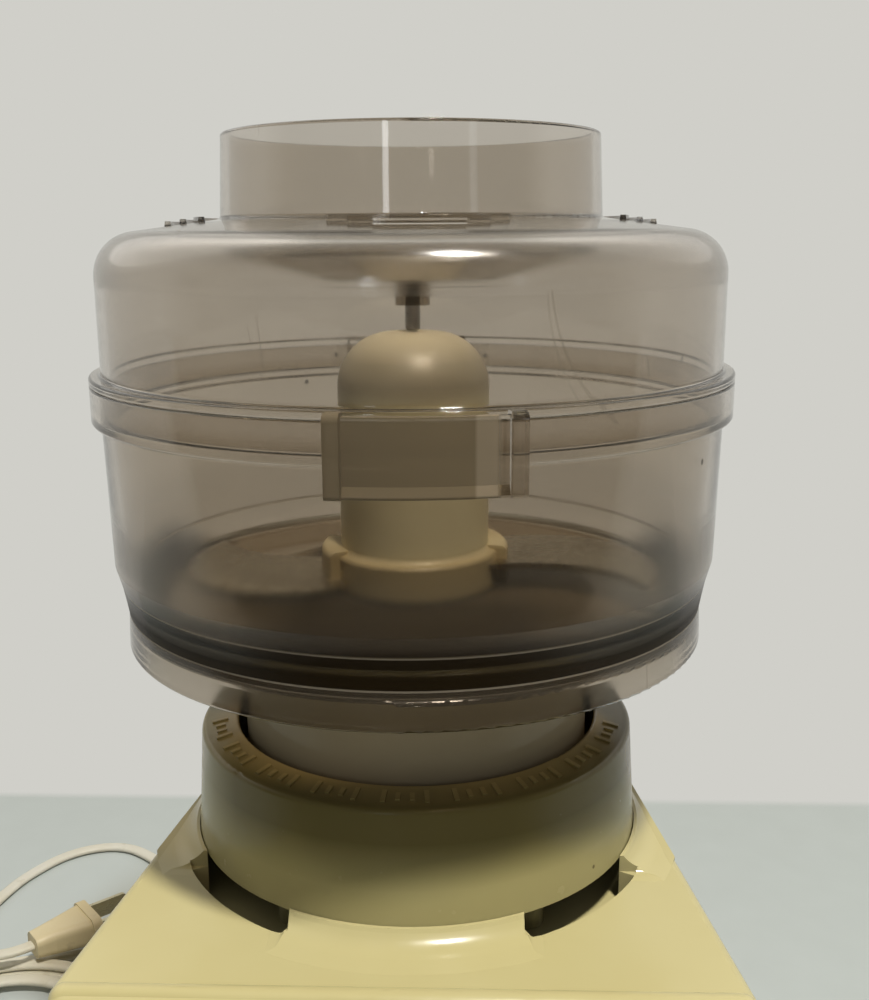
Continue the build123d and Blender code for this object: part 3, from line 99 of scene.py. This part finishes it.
# ---------------------------------------------------------------- node materials
class Recipe:
    """The nodes of a material, or of the world, in the making."""

    def __init__(self, name, world=None):
        self.owner = world or bpy.data.materials.new(name)
        self.owner.use_nodes = True
        self.tree = self.owner.node_tree
        self.tree.nodes.clear()
        self.place = self.add("ShaderNodeTexCoord").outputs["Generated" if world else "Object"]
        self.output = "ShaderNodeOutputWorld" if world else "ShaderNodeOutputMaterial"

    def put(self, value, socket):
        if isinstance(value, bpy.types.NodeSocket):
            self.tree.links.new(value, socket)
        else:
            socket.default_value = value

    def add(self, kind, inputs=None, **settings):
        node = self.tree.nodes.new(kind)
        for name, value in settings.items():
            setattr(node, name, value)
        for name, value in (inputs or {}).items():
            self.put(value, node.inputs[name])
        return node

    def stretched(self, x, y, z):
        """The place, squeezed or stretched along each axis."""
        return self.add("ShaderNodeMapping", {"Vector": self.place, "Scale": (x, y, z)}).outputs[0]

    def noise(self, scale, detail=3.0, place=None):
        inputs = {"Vector": place or self.place, "Scale": scale, "Detail": detail}
        return self.add("ShaderNodeTexNoise", inputs).outputs["Fac"]

    def cells(self, scale):
        """Voronoi cells: how far a point is from its cell's middle, and the cell's own colour."""
        node = self.add("ShaderNodeTexVoronoi", {"Vector": self.place, "Scale": scale})
        return node.outputs["Distance"], node.outputs["Color"]

    def between(self, value, low, high, start=0.0, end=1.0):
        """value's way from low to high, as a number from start to end."""
        inputs = {"Value": value, "From Min": low, "From Max": high, "To Min": start, "To Max": end}
        return self.add("ShaderNodeMapRange", inputs).outputs[0]

    def maths(self, operation, first, second=0.0):
        node = self.add("ShaderNodeMath", operation=operation)
        self.put(first, node.inputs[0])
        self.put(second, node.inputs[1])
        return node.outputs[0]

    def both(self, first, second):
        """The product of two shares."""
        return self.maths("MULTIPLY", first, second)

    def either(self, first, second):
        """The larger of two shares."""
        return self.maths("MAXIMUM", first, second)

    def within(self, value, low, high, blur=0.3):
        """1 where a length in millimetres lies between low and high, and 0 beyond the blur."""
        rise = self.between(value, (low - blur) * MM, low * MM)
        return self.both(rise, self.between(value, (high + blur) * MM, high * MM))

    def ray(self, kind):
        """1 for rays of one kind, such as Is Camera Ray."""
        return self.add("ShaderNodeLightPath").outputs[kind]

    def part(self, axis, place=None):
        """One coordinate of a place."""
        return self.add("ShaderNodeSeparateXYZ", {0: place or self.place}).outputs[axis]

    def mixed(self, share, first, second):
        """Two colours mixed."""
        node = self.add("ShaderNodeMix", data_type="RGBA")
        self.put(share, node.inputs[0])
        self.put(first, node.inputs[6])
        self.put(second, node.inputs[7])
        return node.outputs[2]

    def bump(self, height, distance):
        inputs = {"Height": height, "Distance": distance, "Strength": 1.0}
        return self.add("ShaderNodeBump", inputs).outputs[0]

    def mixed_shader(self, share, first, second):
        node = self.add("ShaderNodeMixShader", {0: share})
        self.put(first, node.inputs[1])
        self.put(second, node.inputs[2])
        return node.outputs[0]

    def surface(self, inputs):
        return self.add("ShaderNodeBsdfPrincipled", inputs).outputs[0]

    def done(self, shader):
        self.put(shader, self.add(self.output).inputs["Surface"])
        return self.owner


def specks(r, scale, size, share):
    """Small round specks of dirt: 1 on a speck and 0 elsewhere."""
    distance, colour = r.cells(scale)
    chosen = r.maths("LESS_THAN", r.part(0, colour), share)
    return r.both(r.between(distance, size, size * 0.6), chosen)


def moulded(r, base, bounce, roughness, specular):
    """A surface of moulded plastic with a soft gloss, a few specks of dirt and faint rubbed marks. It throws
    less light on its neighbours than it shows, by the share bounce, which keeps the shade deep."""
    marks = specks(r, 210, 0.12, 0.035)
    base = r.mixed(r.both(marks, 0.8), base, plastic_dirt)
    base = r.mixed(r.both(r.ray("Is Diffuse Ray"), bounce), base, plastic_bounce)
    wear = r.noise(300, 2, r.stretched(1, 0.25, 1))
    rough = r.between(wear, 0.3, 0.75, roughness, roughness + 0.1)
    peel = r.bump(r.noise(260, 1), 0.006 * MM)
    return r.surface({"Base Color": base, "Roughness": rough, "Normal": peel, "Specular IOR Level": specular})


def glossy_plastic(name, colour, aged):
    """Moulded plastic that has yellowed unevenly."""
    r = Recipe(name)
    base = r.mixed(r.between(r.noise(12, 4), 0.35, 0.7), colour, aged)
    return r.done(moulded(r, base, bounce=0.85, roughness=0.16, specular=0.4))


def collar_plastic(name):
    """The housing's plastic on the collar: painted shade makes it darker, and browner up its side, painted
    light makes its top paler, and it is dusty on its top.
    """
    r = Recipe(name)
    z = r.part(2)
    # Painted shade: these are the housing's plastic made darker all over, for the shade on the collar.
    base = r.mixed(r.between(r.noise(12, 4), 0.35, 0.7), linear(200, 189, 132), linear(188, 176, 116))
    # Painted shade: darker and browner from 133 to 144 mm up, and less so at the collar's far left.
    painted_side_shade = r.between(z, 133 * MM, 144 * MM)
    shade_away_from_left = r.between(r.part(0), -54 * MM, -40 * MM, 0.3, 0.9)
    base = r.mixed(r.both(painted_side_shade, shade_away_from_left), base, linear(112, 101, 56))
    # Painted light: the collar's top face is painted paler.
    painted_top_light = r.between(z, 152 * MM, 154.5 * MM)
    base = r.mixed(painted_top_light, base, linear(236, 212, 144))
    dust = r.between(r.noise(90, 4), 0.55, 0.75, 0.0, 0.35)
    near_top = r.between(z, 148 * MM, 154 * MM)
    base = r.mixed(r.both(dust, near_top), base, linear(120, 98, 54))
    return r.done(moulded(r, base, bounce=0.7, roughness=0.18, specular=0.3))


def plain_plastic(name, colour, other, roughness=0.45):
    """Moulded plastic with a matt grain, for what is inside or underneath."""
    r = Recipe(name)
    base = r.mixed(r.between(r.noise(40, 4), 0.3, 0.7), colour, other)
    rough = r.between(r.noise(600, 2), 0.3, 0.7, roughness - 0.07, roughness + 0.07)
    grain = r.bump(r.noise(600, 3), 0.02 * MM)
    return r.done(r.surface({"Base Color": base, "Roughness": rough, "Normal": grain}))


def rubber(name, colour):
    """Matt rubber with dust on it."""
    r = Recipe(name)
    dust = r.between(r.noise(120, 5), 0.5, 0.8)
    base = r.mixed(dust, colour, linear(120, 116, 108))
    grain = r.bump(r.noise(1500, 2), 0.04 * MM)
    return r.done(r.surface({"Base Color": base, "Roughness": 0.75, "Normal": grain}))


def metal(name, colour, dull, roughness=0.3, lines=(1, 1, 12)):
    """Metal with duller patches and drawn or turned lines. lines is how close these are along each axis."""
    r = Recipe(name)
    streaks = r.noise(260, 3, r.stretched(*lines))
    base = r.mixed(r.between(r.noise(50, 4), 0.45, 0.75), colour, dull)
    rough = r.between(streaks, 0.3, 0.7, roughness - 0.08, roughness + 0.12)
    look = {"Base Color": base, "Metallic": 1.0, "Roughness": rough, "Normal": r.bump(streaks, 0.01 * MM)}
    return r.done(r.surface(look))


def blade_steel(name):
    """Ground steel: fine lines across the blade and a few stains."""
    r = Recipe(name)
    lines = r.noise(300, 2, r.stretched(1, 6, 1))
    stain = r.between(r.noise(60, 5), 0.55, 0.75)
    base = r.mixed(stain, linear(176, 168, 150), linear(146, 134, 112))
    rough = r.between(lines, 0.3, 0.7, 0.24, 0.34)
    look = {"Base Color": base, "Metallic": 1.0, "Roughness": rough, "Normal": r.bump(lines, 0.003 * MM)}
    return r.done(r.surface(look))


def scratches(r):
    """Hairline scratches: thin stretches of a slow noise's contour lines. They are anywhere on the upper
    lid, and lower down only away from the middle."""
    slow = r.noise(28, 0, r.stretched(1, 1, 0.35))
    contour = r.between(r.maths("ABSOLUTE", r.maths("SUBTRACT", slow, 0.5)), 0.004, 0.0015)
    on_lid = r.between(r.part(2), 244 * MM, 250 * MM)
    off_middle = r.between(r.maths("ABSOLUTE", r.part(0)), 30 * MM, 36 * MM)
    stretches = r.between(r.noise(45, 1), 0.6, 0.64)
    return r.both(r.both(contour, r.either(on_lid, off_middle)), stretches)


def smoky_zones(r):
    """Where the bowl and the lid look different: a share from 0 to 1 for each zone. Heights are above the
    table and radii from the drive axis, in millimetres."""
    x, y, z = (r.part(axis) for axis in range(3))
    sideways = r.maths("ABSOLUTE", x)
    radius = r.maths("SQRT", r.maths("ADD", r.both(x, x), r.both(y, y)))
    on_wall = r.within(radius, 62, 80)
    zones = {
        "bowl": r.between(z, 237 * MM, 234 * MM),
        "neck": r.within(z, 100, 176, 1),
        "skirt": r.both(r.within(z, 170, 185.2), r.within(radius, 66, 80)),
        "floor": r.both(r.within(z, 183, 187), r.within(radius, 0, 64, 3)),
        "low_wall": r.both(r.within(z, 184, 205, 9), on_wall),
        "lid_top": r.both(r.within(z, 261.8, 300), r.within(radius, 50, 80)),
        "fork": r.both(r.within(radius, 0, 7.5), r.within(z, 250, 262)),
    }
    floor_front = r.both(zones["floor"], r.between(y, 6 * MM, -20 * MM))
    zones["floor_front"] = r.both(floor_front, r.between(sideways, 52 * MM, 26 * MM, 0.4, 1.0))
    # Painted shade: darker low on the bowl's front wall, deepest towards the floor.
    climb = r.both(r.between(z, 202 * MM, 188 * MM), r.between(z, 185.3 * MM, 185.6 * MM))
    on_front_wall = r.between(y, 36 * MM, 16 * MM)
    zones["low_front_shade"] = r.both(r.both(r.maths("POWER", climb, 1.6), on_wall), on_front_wall)
    # Painted highlights: thin pale lines at the outer wall's two ledges, carried by the lines zone.
    painted_highlight_heights = r.either(r.within(z, 185.4, 185.7, 0.15), r.within(z, 192.7, 192.95, 0.15))
    zones["lines"] = r.both(painted_highlight_heights, r.within(radius, 69, 80, 0.5))
    catch_ring = r.both(r.within(radius, 76.4, 90), r.within(z, 200, 244))
    zones["catch"] = r.both(catch_ring, r.within(sideways, 0, 19, 1))
    zones["catch_rails"] = r.both(zones["catch"], r.between(sideways, 14.9 * MM, 15.5 * MM))
    zones["nicks"] = specks(r, 110, 0.1, 0.03)
    return zones


def smoky_clear(r, zones):
    """The see-through plastic: darker where it is seen edge-on and in the bowl's thicker wall, darker still
    in painted shade low on the front wall and at the fork, and rougher on the lid's top, on the catch and low
    on the bowl."""
    edge = r.between(r.add("ShaderNodeLayerWeight", {"Blend": 0.5}).outputs["Facing"], 0.3, 0.9)
    tint = r.mixed(edge, (0.73, 0.685, 0.625, 1.0), (0.64, 0.595, 0.54, 1.0))
    tint = r.mixed(zones["bowl"], tint, (0.65, 0.595, 0.52, 1.0))
    tint = r.mixed(zones["skirt"], tint, (0.5, 0.44, 0.36, 1.0))
    # Painted shade low on the front wall; the fork at the lid's middle is this dark too.
    tint = r.mixed(r.either(zones["low_front_shade"], zones["fork"]), tint, (0.34, 0.29, 0.23, 1.0))
    rubbed = r.noise(900, 3, r.stretched(0.05, 0.05, 1))
    rough = r.between(rubbed, 0.35, 0.75, 0.02, 0.07)
    for zone, more in (("catch", 0.2), ("lid_top", 0.1), ("low_wall", 0.1)):
        rough = r.maths("ADD", rough, r.both(zones[zone], more))
    look = {"Base Color": tint, "Roughness": rough, "IOR": 1.5, "Transmission Weight": 1.0}
    return r.surface({**look, "Specular IOR Level": 0.35})


def smoky_haze(r, zones):
    """The cloudiness on the plastic, with scratches and dirt, painted highlight lines at the wall's ledges, a
    dark brown front to the floor and painted shade low on the front wall: its shader, and its share of what
    shows at each place."""
    colour = r.mixed(zones["floor"], linear(158, 146, 124), linear(148, 132, 106))
    # Painted shade low on the front wall, in dark brown; the front of the floor is dark brown too.
    painted_shade_share = r.maths("MINIMUM", r.both(zones["low_front_shade"], 2.5), 1.0)
    colour = r.mixed(r.either(zones["floor_front"], painted_shade_share), colour, linear(48, 38, 22))
    haze_colours = {
        "neck": linear(214, 200, 166),
        # The painted highlight colour of the ledge lines.
        "lines": linear(170, 158, 138),
        "catch": linear(120, 107, 85),
        "catch_rails": linear(150, 136, 114),
        "nicks": linear(60, 54, 46),
    }
    for zone, zone_colour in haze_colours.items():
        colour = r.mixed(zones[zone], colour, zone_colour)
    haze = r.add("ShaderNodeBsdfDiffuse", {"Color": colour}).outputs[0]
    share = r.maths("ADD", r.between(r.noise(18, 4), 0.35, 0.75, 0.01, 0.035), r.both(scratches(r), 0.22))
    haze_shares = {
        "floor": 0.46,
        "floor_front": 0.86,
        # Painted shade low on the front wall.
        "low_front_shade": 0.76,
        # Painted highlights at the ledge lines.
        "lines": 0.6,
        "catch": 0.72,
        "low_wall": 0.1,
        "neck": 0.62,
        "nicks": 0.7,
    }
    for zone, strength in haze_shares.items():
        share = r.either(share, r.both(zones[zone], strength))
    return haze, share


def smoky_shadow(r, zones):
    """Lets light straight through, tinted: least by the lid and most by the skirt."""
    shadow_tint = r.mixed(zones["bowl"], (0.88, 0.85, 0.8, 1.0), (0.42, 0.38, 0.33, 1.0))
    shadow_tint = r.mixed(zones["skirt"], shadow_tint, (0.15, 0.13, 0.11, 1.0))
    return r.add("ShaderNodeBsdfTransparent", {"Color": shadow_tint}).outputs[0]


def smoky(name):
    """Clear smoke-brown plastic that is cloudy in places, with painted shade and painted highlight lines low
    on the bowl. Light from the lamps and off the neighbours goes straight through it, so that what is inside
    is lit."""
    r = Recipe(name)
    zones = smoky_zones(r)
    clear = smoky_clear(r, zones)
    haze, share = smoky_haze(r, zones)
    seen = r.mixed_shader(share, clear, haze)
    shadow = smoky_shadow(r, zones)
    passing = r.either(r.ray("Is Shadow Ray"), r.ray("Is Diffuse Ray"))
    return r.done(r.mixed_shader(passing, seen, shadow))


def hub_plastic(name):
    """The hub's cream plastic: painted shade makes it grey round the dome and painted light makes its crown
    paler. It is darker on its flange, with stains and a fine matt grain.
    """
    r = Recipe(name)
    z = r.part(2)
    # Painted shade: grey over the dome from 232 mm up.
    painted_dome_shade = r.between(z, 232 * MM, 238 * MM)
    # Painted light: the dome's crown is painted paler.
    painted_crown_light = r.between(z, 243 * MM, 249 * MM)
    flange = r.between(z, 197.5 * MM, 195.5 * MM)
    base = r.mixed(painted_dome_shade, linear(240, 232, 196), linear(168, 160, 138))
    base = r.mixed(painted_crown_light, base, linear(224, 214, 186))
    base = r.mixed(flange, base, linear(180, 166, 130))
    stains = r.between(r.noise(40, 4), 0.3, 0.7, 0.0, 0.25)
    base = r.mixed(stains, base, linear(160, 146, 112))
    rough = r.between(r.noise(900, 2), 0.3, 0.7, 0.34, 0.46)
    grain = r.bump(r.noise(900, 3), 0.01 * MM)
    return r.done(r.surface({"Base Color": base, "Roughness": rough, "Normal": grain}))


def ridges(r, pitch):
    """Waves along Z, one to each pitch in millimetres."""
    return r.maths("SINE", r.maths("MULTIPLY", r.part(2), 2 * math.pi / (pitch * MM)))


def copper_wire(name):
    """Wound enamelled wire: fine ridges with a red-brown lacquer."""
    r = Recipe(name)
    base = r.mixed(r.between(r.noise(80, 4), 0.35, 0.7), linear(176, 92, 48), linear(120, 58, 32))
    turns = r.bump(ridges(r, 0.7), 0.12 * MM)
    return r.done(r.surface({"Base Color": base, "Metallic": 0.7, "Roughness": 0.35, "Normal": turns}))


def laminations(name):
    """Thin stacked iron sheets, seen as fine lines on the sides."""
    r = Recipe(name)
    base = r.mixed(r.between(r.noise(60, 5), 0.4, 0.7), linear(118, 116, 112), linear(92, 78, 66))
    sheets = r.bump(ridges(r, 1.0), 0.08 * MM)
    return r.done(r.surface({"Base Color": base, "Metallic": 0.8, "Roughness": 0.48, "Normal": sheets}))


def vinyl(name, colour, aged, dirt):
    """Soft cord plastic: grubby in patches, with a faint drag grain."""
    r = Recipe(name)
    base = r.mixed(r.between(r.noise(30, 4), 0.35, 0.7), colour, aged)
    base = r.mixed(r.between(r.noise(160, 5), 0.62, 0.82, 0.0, 0.6), base, dirt)
    rough = r.between(r.noise(300, 3), 0.3, 0.7, 0.38, 0.55)
    grain = r.bump(r.noise(1400, 2), 0.02 * MM)
    return r.done(r.surface({"Base Color": base, "Roughness": rough, "Normal": grain}))


# Each of the record's slots: its recipe and what the recipe takes, usually a colour and a second, duller one.
looks = {
    "housing_plastic": (glossy_plastic, linear(214, 203, 148), linear(206, 193, 134)),
    "collar_plastic": (collar_plastic,),
    "plate_plastic": (plain_plastic, linear(58, 56, 52), linear(74, 70, 64)),
    "foot_rubber": (rubber, linear(46, 44, 42)),
    "screw_steel": (metal, linear(186, 186, 184), linear(140, 136, 128)),
    "bracket_metal": (metal, linear(168, 168, 166), linear(150, 148, 143), 0.45, (1, 6, 1)),
    "bush_bronze": (metal, linear(176, 134, 82), linear(128, 92, 56), 0.4),
    "lamination_steel": (laminations,),
    "coil_copper": (copper_wire,),
    "commutator_copper": (metal, linear(200, 120, 78), linear(110, 70, 50), 0.32),
    "shaft_steel": (metal, linear(196, 196, 194), linear(150, 148, 144), 0.25),
    "pin_steel": (metal, linear(150, 149, 146), linear(110, 108, 104), 0.34),
    "brush_carbon": (plain_plastic, linear(44, 44, 46), linear(62, 60, 60), 0.6),
    "phenolic": (plain_plastic, linear(74, 44, 30), linear(54, 34, 26), 0.5),
    "fan_plastic": (plain_plastic, linear(60, 60, 62), linear(80, 78, 76)),
    "panel_metal": (metal, linear(198, 194, 184), linear(164, 160, 150), 0.36, (12, 1, 1)),
    "button_plastic": (glossy_plastic, linear(232, 226, 208), linear(220, 212, 186)),
    "off_button_plastic": (glossy_plastic, linear(150, 132, 84), linear(134, 116, 70)),
    "gear_case_plastic": (plain_plastic, linear(84, 74, 52), linear(66, 56, 36), 0.4),
    "gear_plastic": (plain_plastic, linear(222, 216, 198), linear(206, 198, 176), 0.4),
    "seal_rubber": (rubber, linear(58, 54, 50)),
    "hub_plastic": (hub_plastic,),
    "blade_steel": (blade_steel,),
    "cord_vinyl": (vinyl, linear(228, 225, 210), linear(218, 210, 184), linear(170, 158, 124)),
    "plug_vinyl": (vinyl, linear(230, 216, 178), linear(220, 204, 160), linear(160, 142, 102)),
    "prong_brass": (metal, linear(196, 188, 158), linear(150, 132, 90), 0.3),
    "smoke_plastic": (smoky,),
}


def make_materials():
    return {name: recipe(name, *values) for name, (recipe, *values) in looks.items()}


def dress_cad_nodes(materials):
    """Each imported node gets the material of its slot."""
    for subpart in frame["record"]["subparts"]:
        node = frame["nodes"][subpart["node"]]
        node.data.materials.clear()
        node.data.materials.append(materials[subpart["material_slot"]])


# ---------------------------------------------------------------- lead
# All in millimetres. The lead leaves the base at its back, lies in a coil, and comes out of it to the plug.
cord_width = 5.2
cord_height = 2.7
on_table = 1.4  # the cord's middle where it lies flat
lead_route = [
    (0, 128, 18),
    (-2, 145, 15),
    (-15, 160, 7),
    (-43.7, 161.6, 1.6),
    (-69.3, 149.7, on_table),
    (-92.6, 130.8, on_table),
    (-116.1, 114.5, on_table),
]
tail_route = [
    (-95.5, 82.7, 2.6),
    (-97.9, 108.7, 6.4),
    (-102.8, 135.5, 6.2),
    (-112.7, 160.2, 2.2),
    (-126.3, 178.7, on_table),
    (-144.7, 190.1, on_table),
    (-165.5, 183.5, on_table),
    (-179, 163, on_table),
    (-184, 144, on_table),
    (-186.5, 127, 1.8),
    (-187, 110, 4.2),
    (-182.6, 99.4, 8.4),
    (-173.8, 94.6, 10.2),
    (-165, 92.4, 11.2),
    (-156.3, 94.6, 11.5),
    (-151.1, 99.3, 11.5),
]
coil_turns = 3.75
coil_depth = 17.0  # how far the turns go in from the outermost one
coil_margin = 2.9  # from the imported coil's edge to the middle of the outermost turn
climb_start = 0.45  # the share of the coil after which the cord climbs onto its own lower turns
climb_share = 0.1
points_in_turn = 16


def coil_points():
    """The coil's turns: in towards its middle on the table, then out again on top of them."""
    low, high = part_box("cord_coil")
    middle = (low + high) / 2 / MM
    outer = (high.x - low.x) / 2 / MM - coil_margin
    steps = round(coil_turns * points_in_turn)
    points = []
    for i in range(steps + 1):
        share = i / steps
        angle = math.radians(90) + 2 * math.pi * i / points_in_turn
        inward = min(share, 1 - share) * 2
        radius = outer - coil_depth * inward
        climbed = min(max((share - climb_start) / climb_share, 0.0), 1.0)
        x = middle.x + radius * math.cos(angle)
        y = middle.y + radius * math.sin(angle)
        points.append((x, y, on_table + cord_height * climbed))
    return points


def smooth_line(name, route):
    """Points along the smooth NURBS line that has the route as its control points."""
    curve = bpy.data.curves.new(name, "CURVE")
    curve.dimensions = "3D"
    spline = curve.splines.new("NURBS")
    spline.points.add(len(route) - 1)
    for point, place in zip(spline.points, route):
        point.co = (*(Vector(place) * MM), 1.0)
    spline.order_u = 3
    spline.use_endpoint_u = True
    spline.resolution_u = 12
    holder = bpy.data.objects.new(name, curve)
    mesh = bpy.data.meshes.new_from_object(holder)
    line = [vertex.co.copy() for vertex in mesh.vertices]
    bpy.data.objects.remove(holder)
    return line


def flat_section():
    """A two-core cord's outline in metres: two cores side by side, with a shallow groove between them."""
    points_around = 20
    groove_depth = 0.16
    groove_width = 0.28
    fullness = 0.75
    outline = []
    for i in range(points_around):
        angle = 2 * math.pi * i / points_around
        across = math.cos(angle)
        groove = 1 - groove_depth * math.exp(-((across / groove_width) ** 2))
        rise = math.copysign(abs(math.sin(angle)) ** fullness, math.sin(angle))
        outline.append((cord_width * MM / 2 * across, cord_height * MM / 2 * rise * groove))
    return outline


def loft(rings):
    """A closed skin over rings that have equally many points."""
    bm = bmesh.new()
    made = [[bm.verts.new(point) for point in ring] for ring in rings]
    count = len(made[0])
    for ring, following in zip(made, made[1:]):
        for i in range(count):
            bm.faces.new((ring[i], ring[(i + 1) % count], following[(i + 1) % count], following[i]))
    bm.faces.new(made[0])
    bm.faces.new(made[-1])
    bmesh.ops.recalc_face_normals(bm, faces=bm.faces)
    return bm


def make_cord(materials):
    """The lead, skinned along its smooth line and laid flat on the table."""
    line = smooth_line("cord_line", lead_route + coil_points() + tail_route)
    section = flat_section()
    rings = []
    for i, place in enumerate(line):
        ahead = (line[min(i + 1, len(line) - 1)] - line[max(i - 1, 0)]).normalized()
        across = ahead.cross(Vector((0, 0, 1))).normalized()
        up = across.cross(ahead)
        rings.append([place + across * x + up * y for x, y in section])
    bm = loft(rings)
    mesh = bpy.data.meshes.new("lead")
    bm.to_mesh(mesh)
    bm.free()
    mesh.shade_smooth()
    mesh.set_sharp_from_angle(angle=math.radians(40))
    mesh.materials.append(materials["cord_vinyl"])
    cord = bpy.data.objects.new("lead", mesh)
    scene.collection.objects.link(cord)
    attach(cord, "base")
    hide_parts("cord_lead", "cord_coil", "cord_tail")


# ---------------------------------------------------------------- stage
def make_floor():
    """A pale table that meets the backdrop's colour a little behind the object and far out at its sides."""
    table_back = 0.236
    back_fade = 0.006
    side_fade = (0.5, 0.9)
    front_fade = (-0.12, -0.25)  # further forward, what is shiny sees the dark room instead
    r = Recipe("floor")
    back = r.part(1)
    from_middle = r.add("ShaderNodeVectorMath", {0: r.place}, operation="LENGTH").outputs["Value"]
    far = r.either(r.between(back, table_back, table_back + back_fade), r.between(from_middle, *side_fade))
    in_front = r.between(back, *front_fade)
    behind = r.between(back, *reversed(front_fade))

    near = r.mixed(r.between(r.noise(60, 4), 0.3, 0.7, 0.0, 0.12), floor_colour, floor_patches)
    near = r.mixed(r.both(r.ray("Is Diffuse Ray"), 0.5), near, floor_bounce)
    near = r.mixed(r.both(r.ray("Is Glossy Ray"), in_front), near, room_colour)
    lit = r.surface({"Base Color": near, "Roughness": 0.5, "Specular IOR Level": 0.3})
    plain = r.add("ShaderNodeEmission", {"Color": backdrop_colour, "Strength": 1.0}).outputs[0]
    seen = r.either(r.ray("Is Camera Ray"), r.both(r.ray("Is Glossy Ray"), behind))
    seen = r.either(seen, r.ray("Is Transmission Ray"))
    material = r.done(r.mixed_shader(r.both(seen, far), lit, plain))

    bpy.ops.mesh.primitive_grid_add(size=6, x_subdivisions=2, y_subdivisions=2)
    floor = bpy.context.object
    floor.name = "floor"
    floor.data.materials.append(material)


def make_world():
    """A plain pale room, lit from above, that is seen as the backdrop's colour. What is shiny and faces the
    front mirrors a darker side of the room."""
    world = bpy.data.worlds.new("room")
    scene.world = world
    r = Recipe("room", world)
    light = r.between(r.part(2), 0.0, 1.0, room_side_light, room_top_light)
    lighting = r.add("ShaderNodeBackground", {"Color": room_light_colour, "Strength": light}).outputs[0]
    in_front = r.both(r.ray("Is Glossy Ray"), r.between(r.part(1), 0.05, -0.3))
    background = r.mixed(in_front, backdrop_colour, room_colour)
    shown = r.add("ShaderNodeBackground", {"Color": background, "Strength": 1.0}).outputs[0]
    seen = r.either(r.either(r.ray("Is Camera Ray"), r.ray("Is Glossy Ray")), r.ray("Is Transmission Ray"))
    r.done(r.mixed_shader(seen, lighting, shown))


def make_lamp(name, place, aim, size, power, colour=lamp_light):
    """A flat lamp that faces aim. size is a disk's width, or a strip's width and height."""
    data = bpy.data.lights.new(name, "AREA")
    if isinstance(size, tuple):
        data.shape = "RECTANGLE"
        data.size, data.size_y = size
    else:
        data.shape = "DISK"
        data.size = size
    data.energy = power
    data.color = colour
    lamp = bpy.data.objects.new(name, data)
    lamp.location = place
    lamp.rotation_euler = (Vector(aim) - Vector(place)).to_track_quat("-Z", "Y").to_euler()
    scene.collection.objects.link(lamp)


def around(bearing, rise, distance, middle):
    """A place seen from middle, at a bearing in degrees to the right of the front and a rise in degrees."""
    turn, lift = math.radians(bearing), math.radians(rise)
    flat = distance * math.cos(lift)
    return Vector(middle) + Vector((flat * math.sin(turn), -flat * math.cos(turn), distance * math.sin(lift)))


def make_lights():
    """A small strong key lamp, two wide soft lamps behind, and two tall window-like strips whose streaks show
    on the lid's ring. Bearings and rises in degrees, sizes and distances in metres, powers in watts."""
    middle = (0, 0, 0.15)
    distance = 1.3
    make_lamp("key", around(26, 67, distance, middle), middle, 0.12, 14.5)
    for name, bearing, power in (("back_left", -125, 2.2), ("back_right", 130, 1.4)):
        make_lamp(name, around(bearing, 40, distance, middle), middle, 1.2, power)
    window_middle = (0, 0, 0.45)
    window_distance = 1.2
    window_height = 0.42
    for name, bearing, width, power in (("window", -11.3, 0.07, 0.42), ("side_window", 38, 0.09, 0.09)):
        place = around(bearing, 0, window_distance, window_middle)
        make_lamp(name, place, window_middle, (width, window_height), power, daylight)


# ---------------------------------------------------------------- put together
scene.view_settings.view_transform = "Standard"
wall_crossings = 24  # enough for light to get through all the clear walls of the bowl and the lid
scene.cycles.max_bounces = wall_crossings
scene.cycles.transmission_bounces = wall_crossings
scene.cycles.transparent_max_bounces = 32
make_camera()
make_world()
make_lights()
make_floor()
materials = make_materials()
dress_cad_nodes(materials)
make_cord(materials)
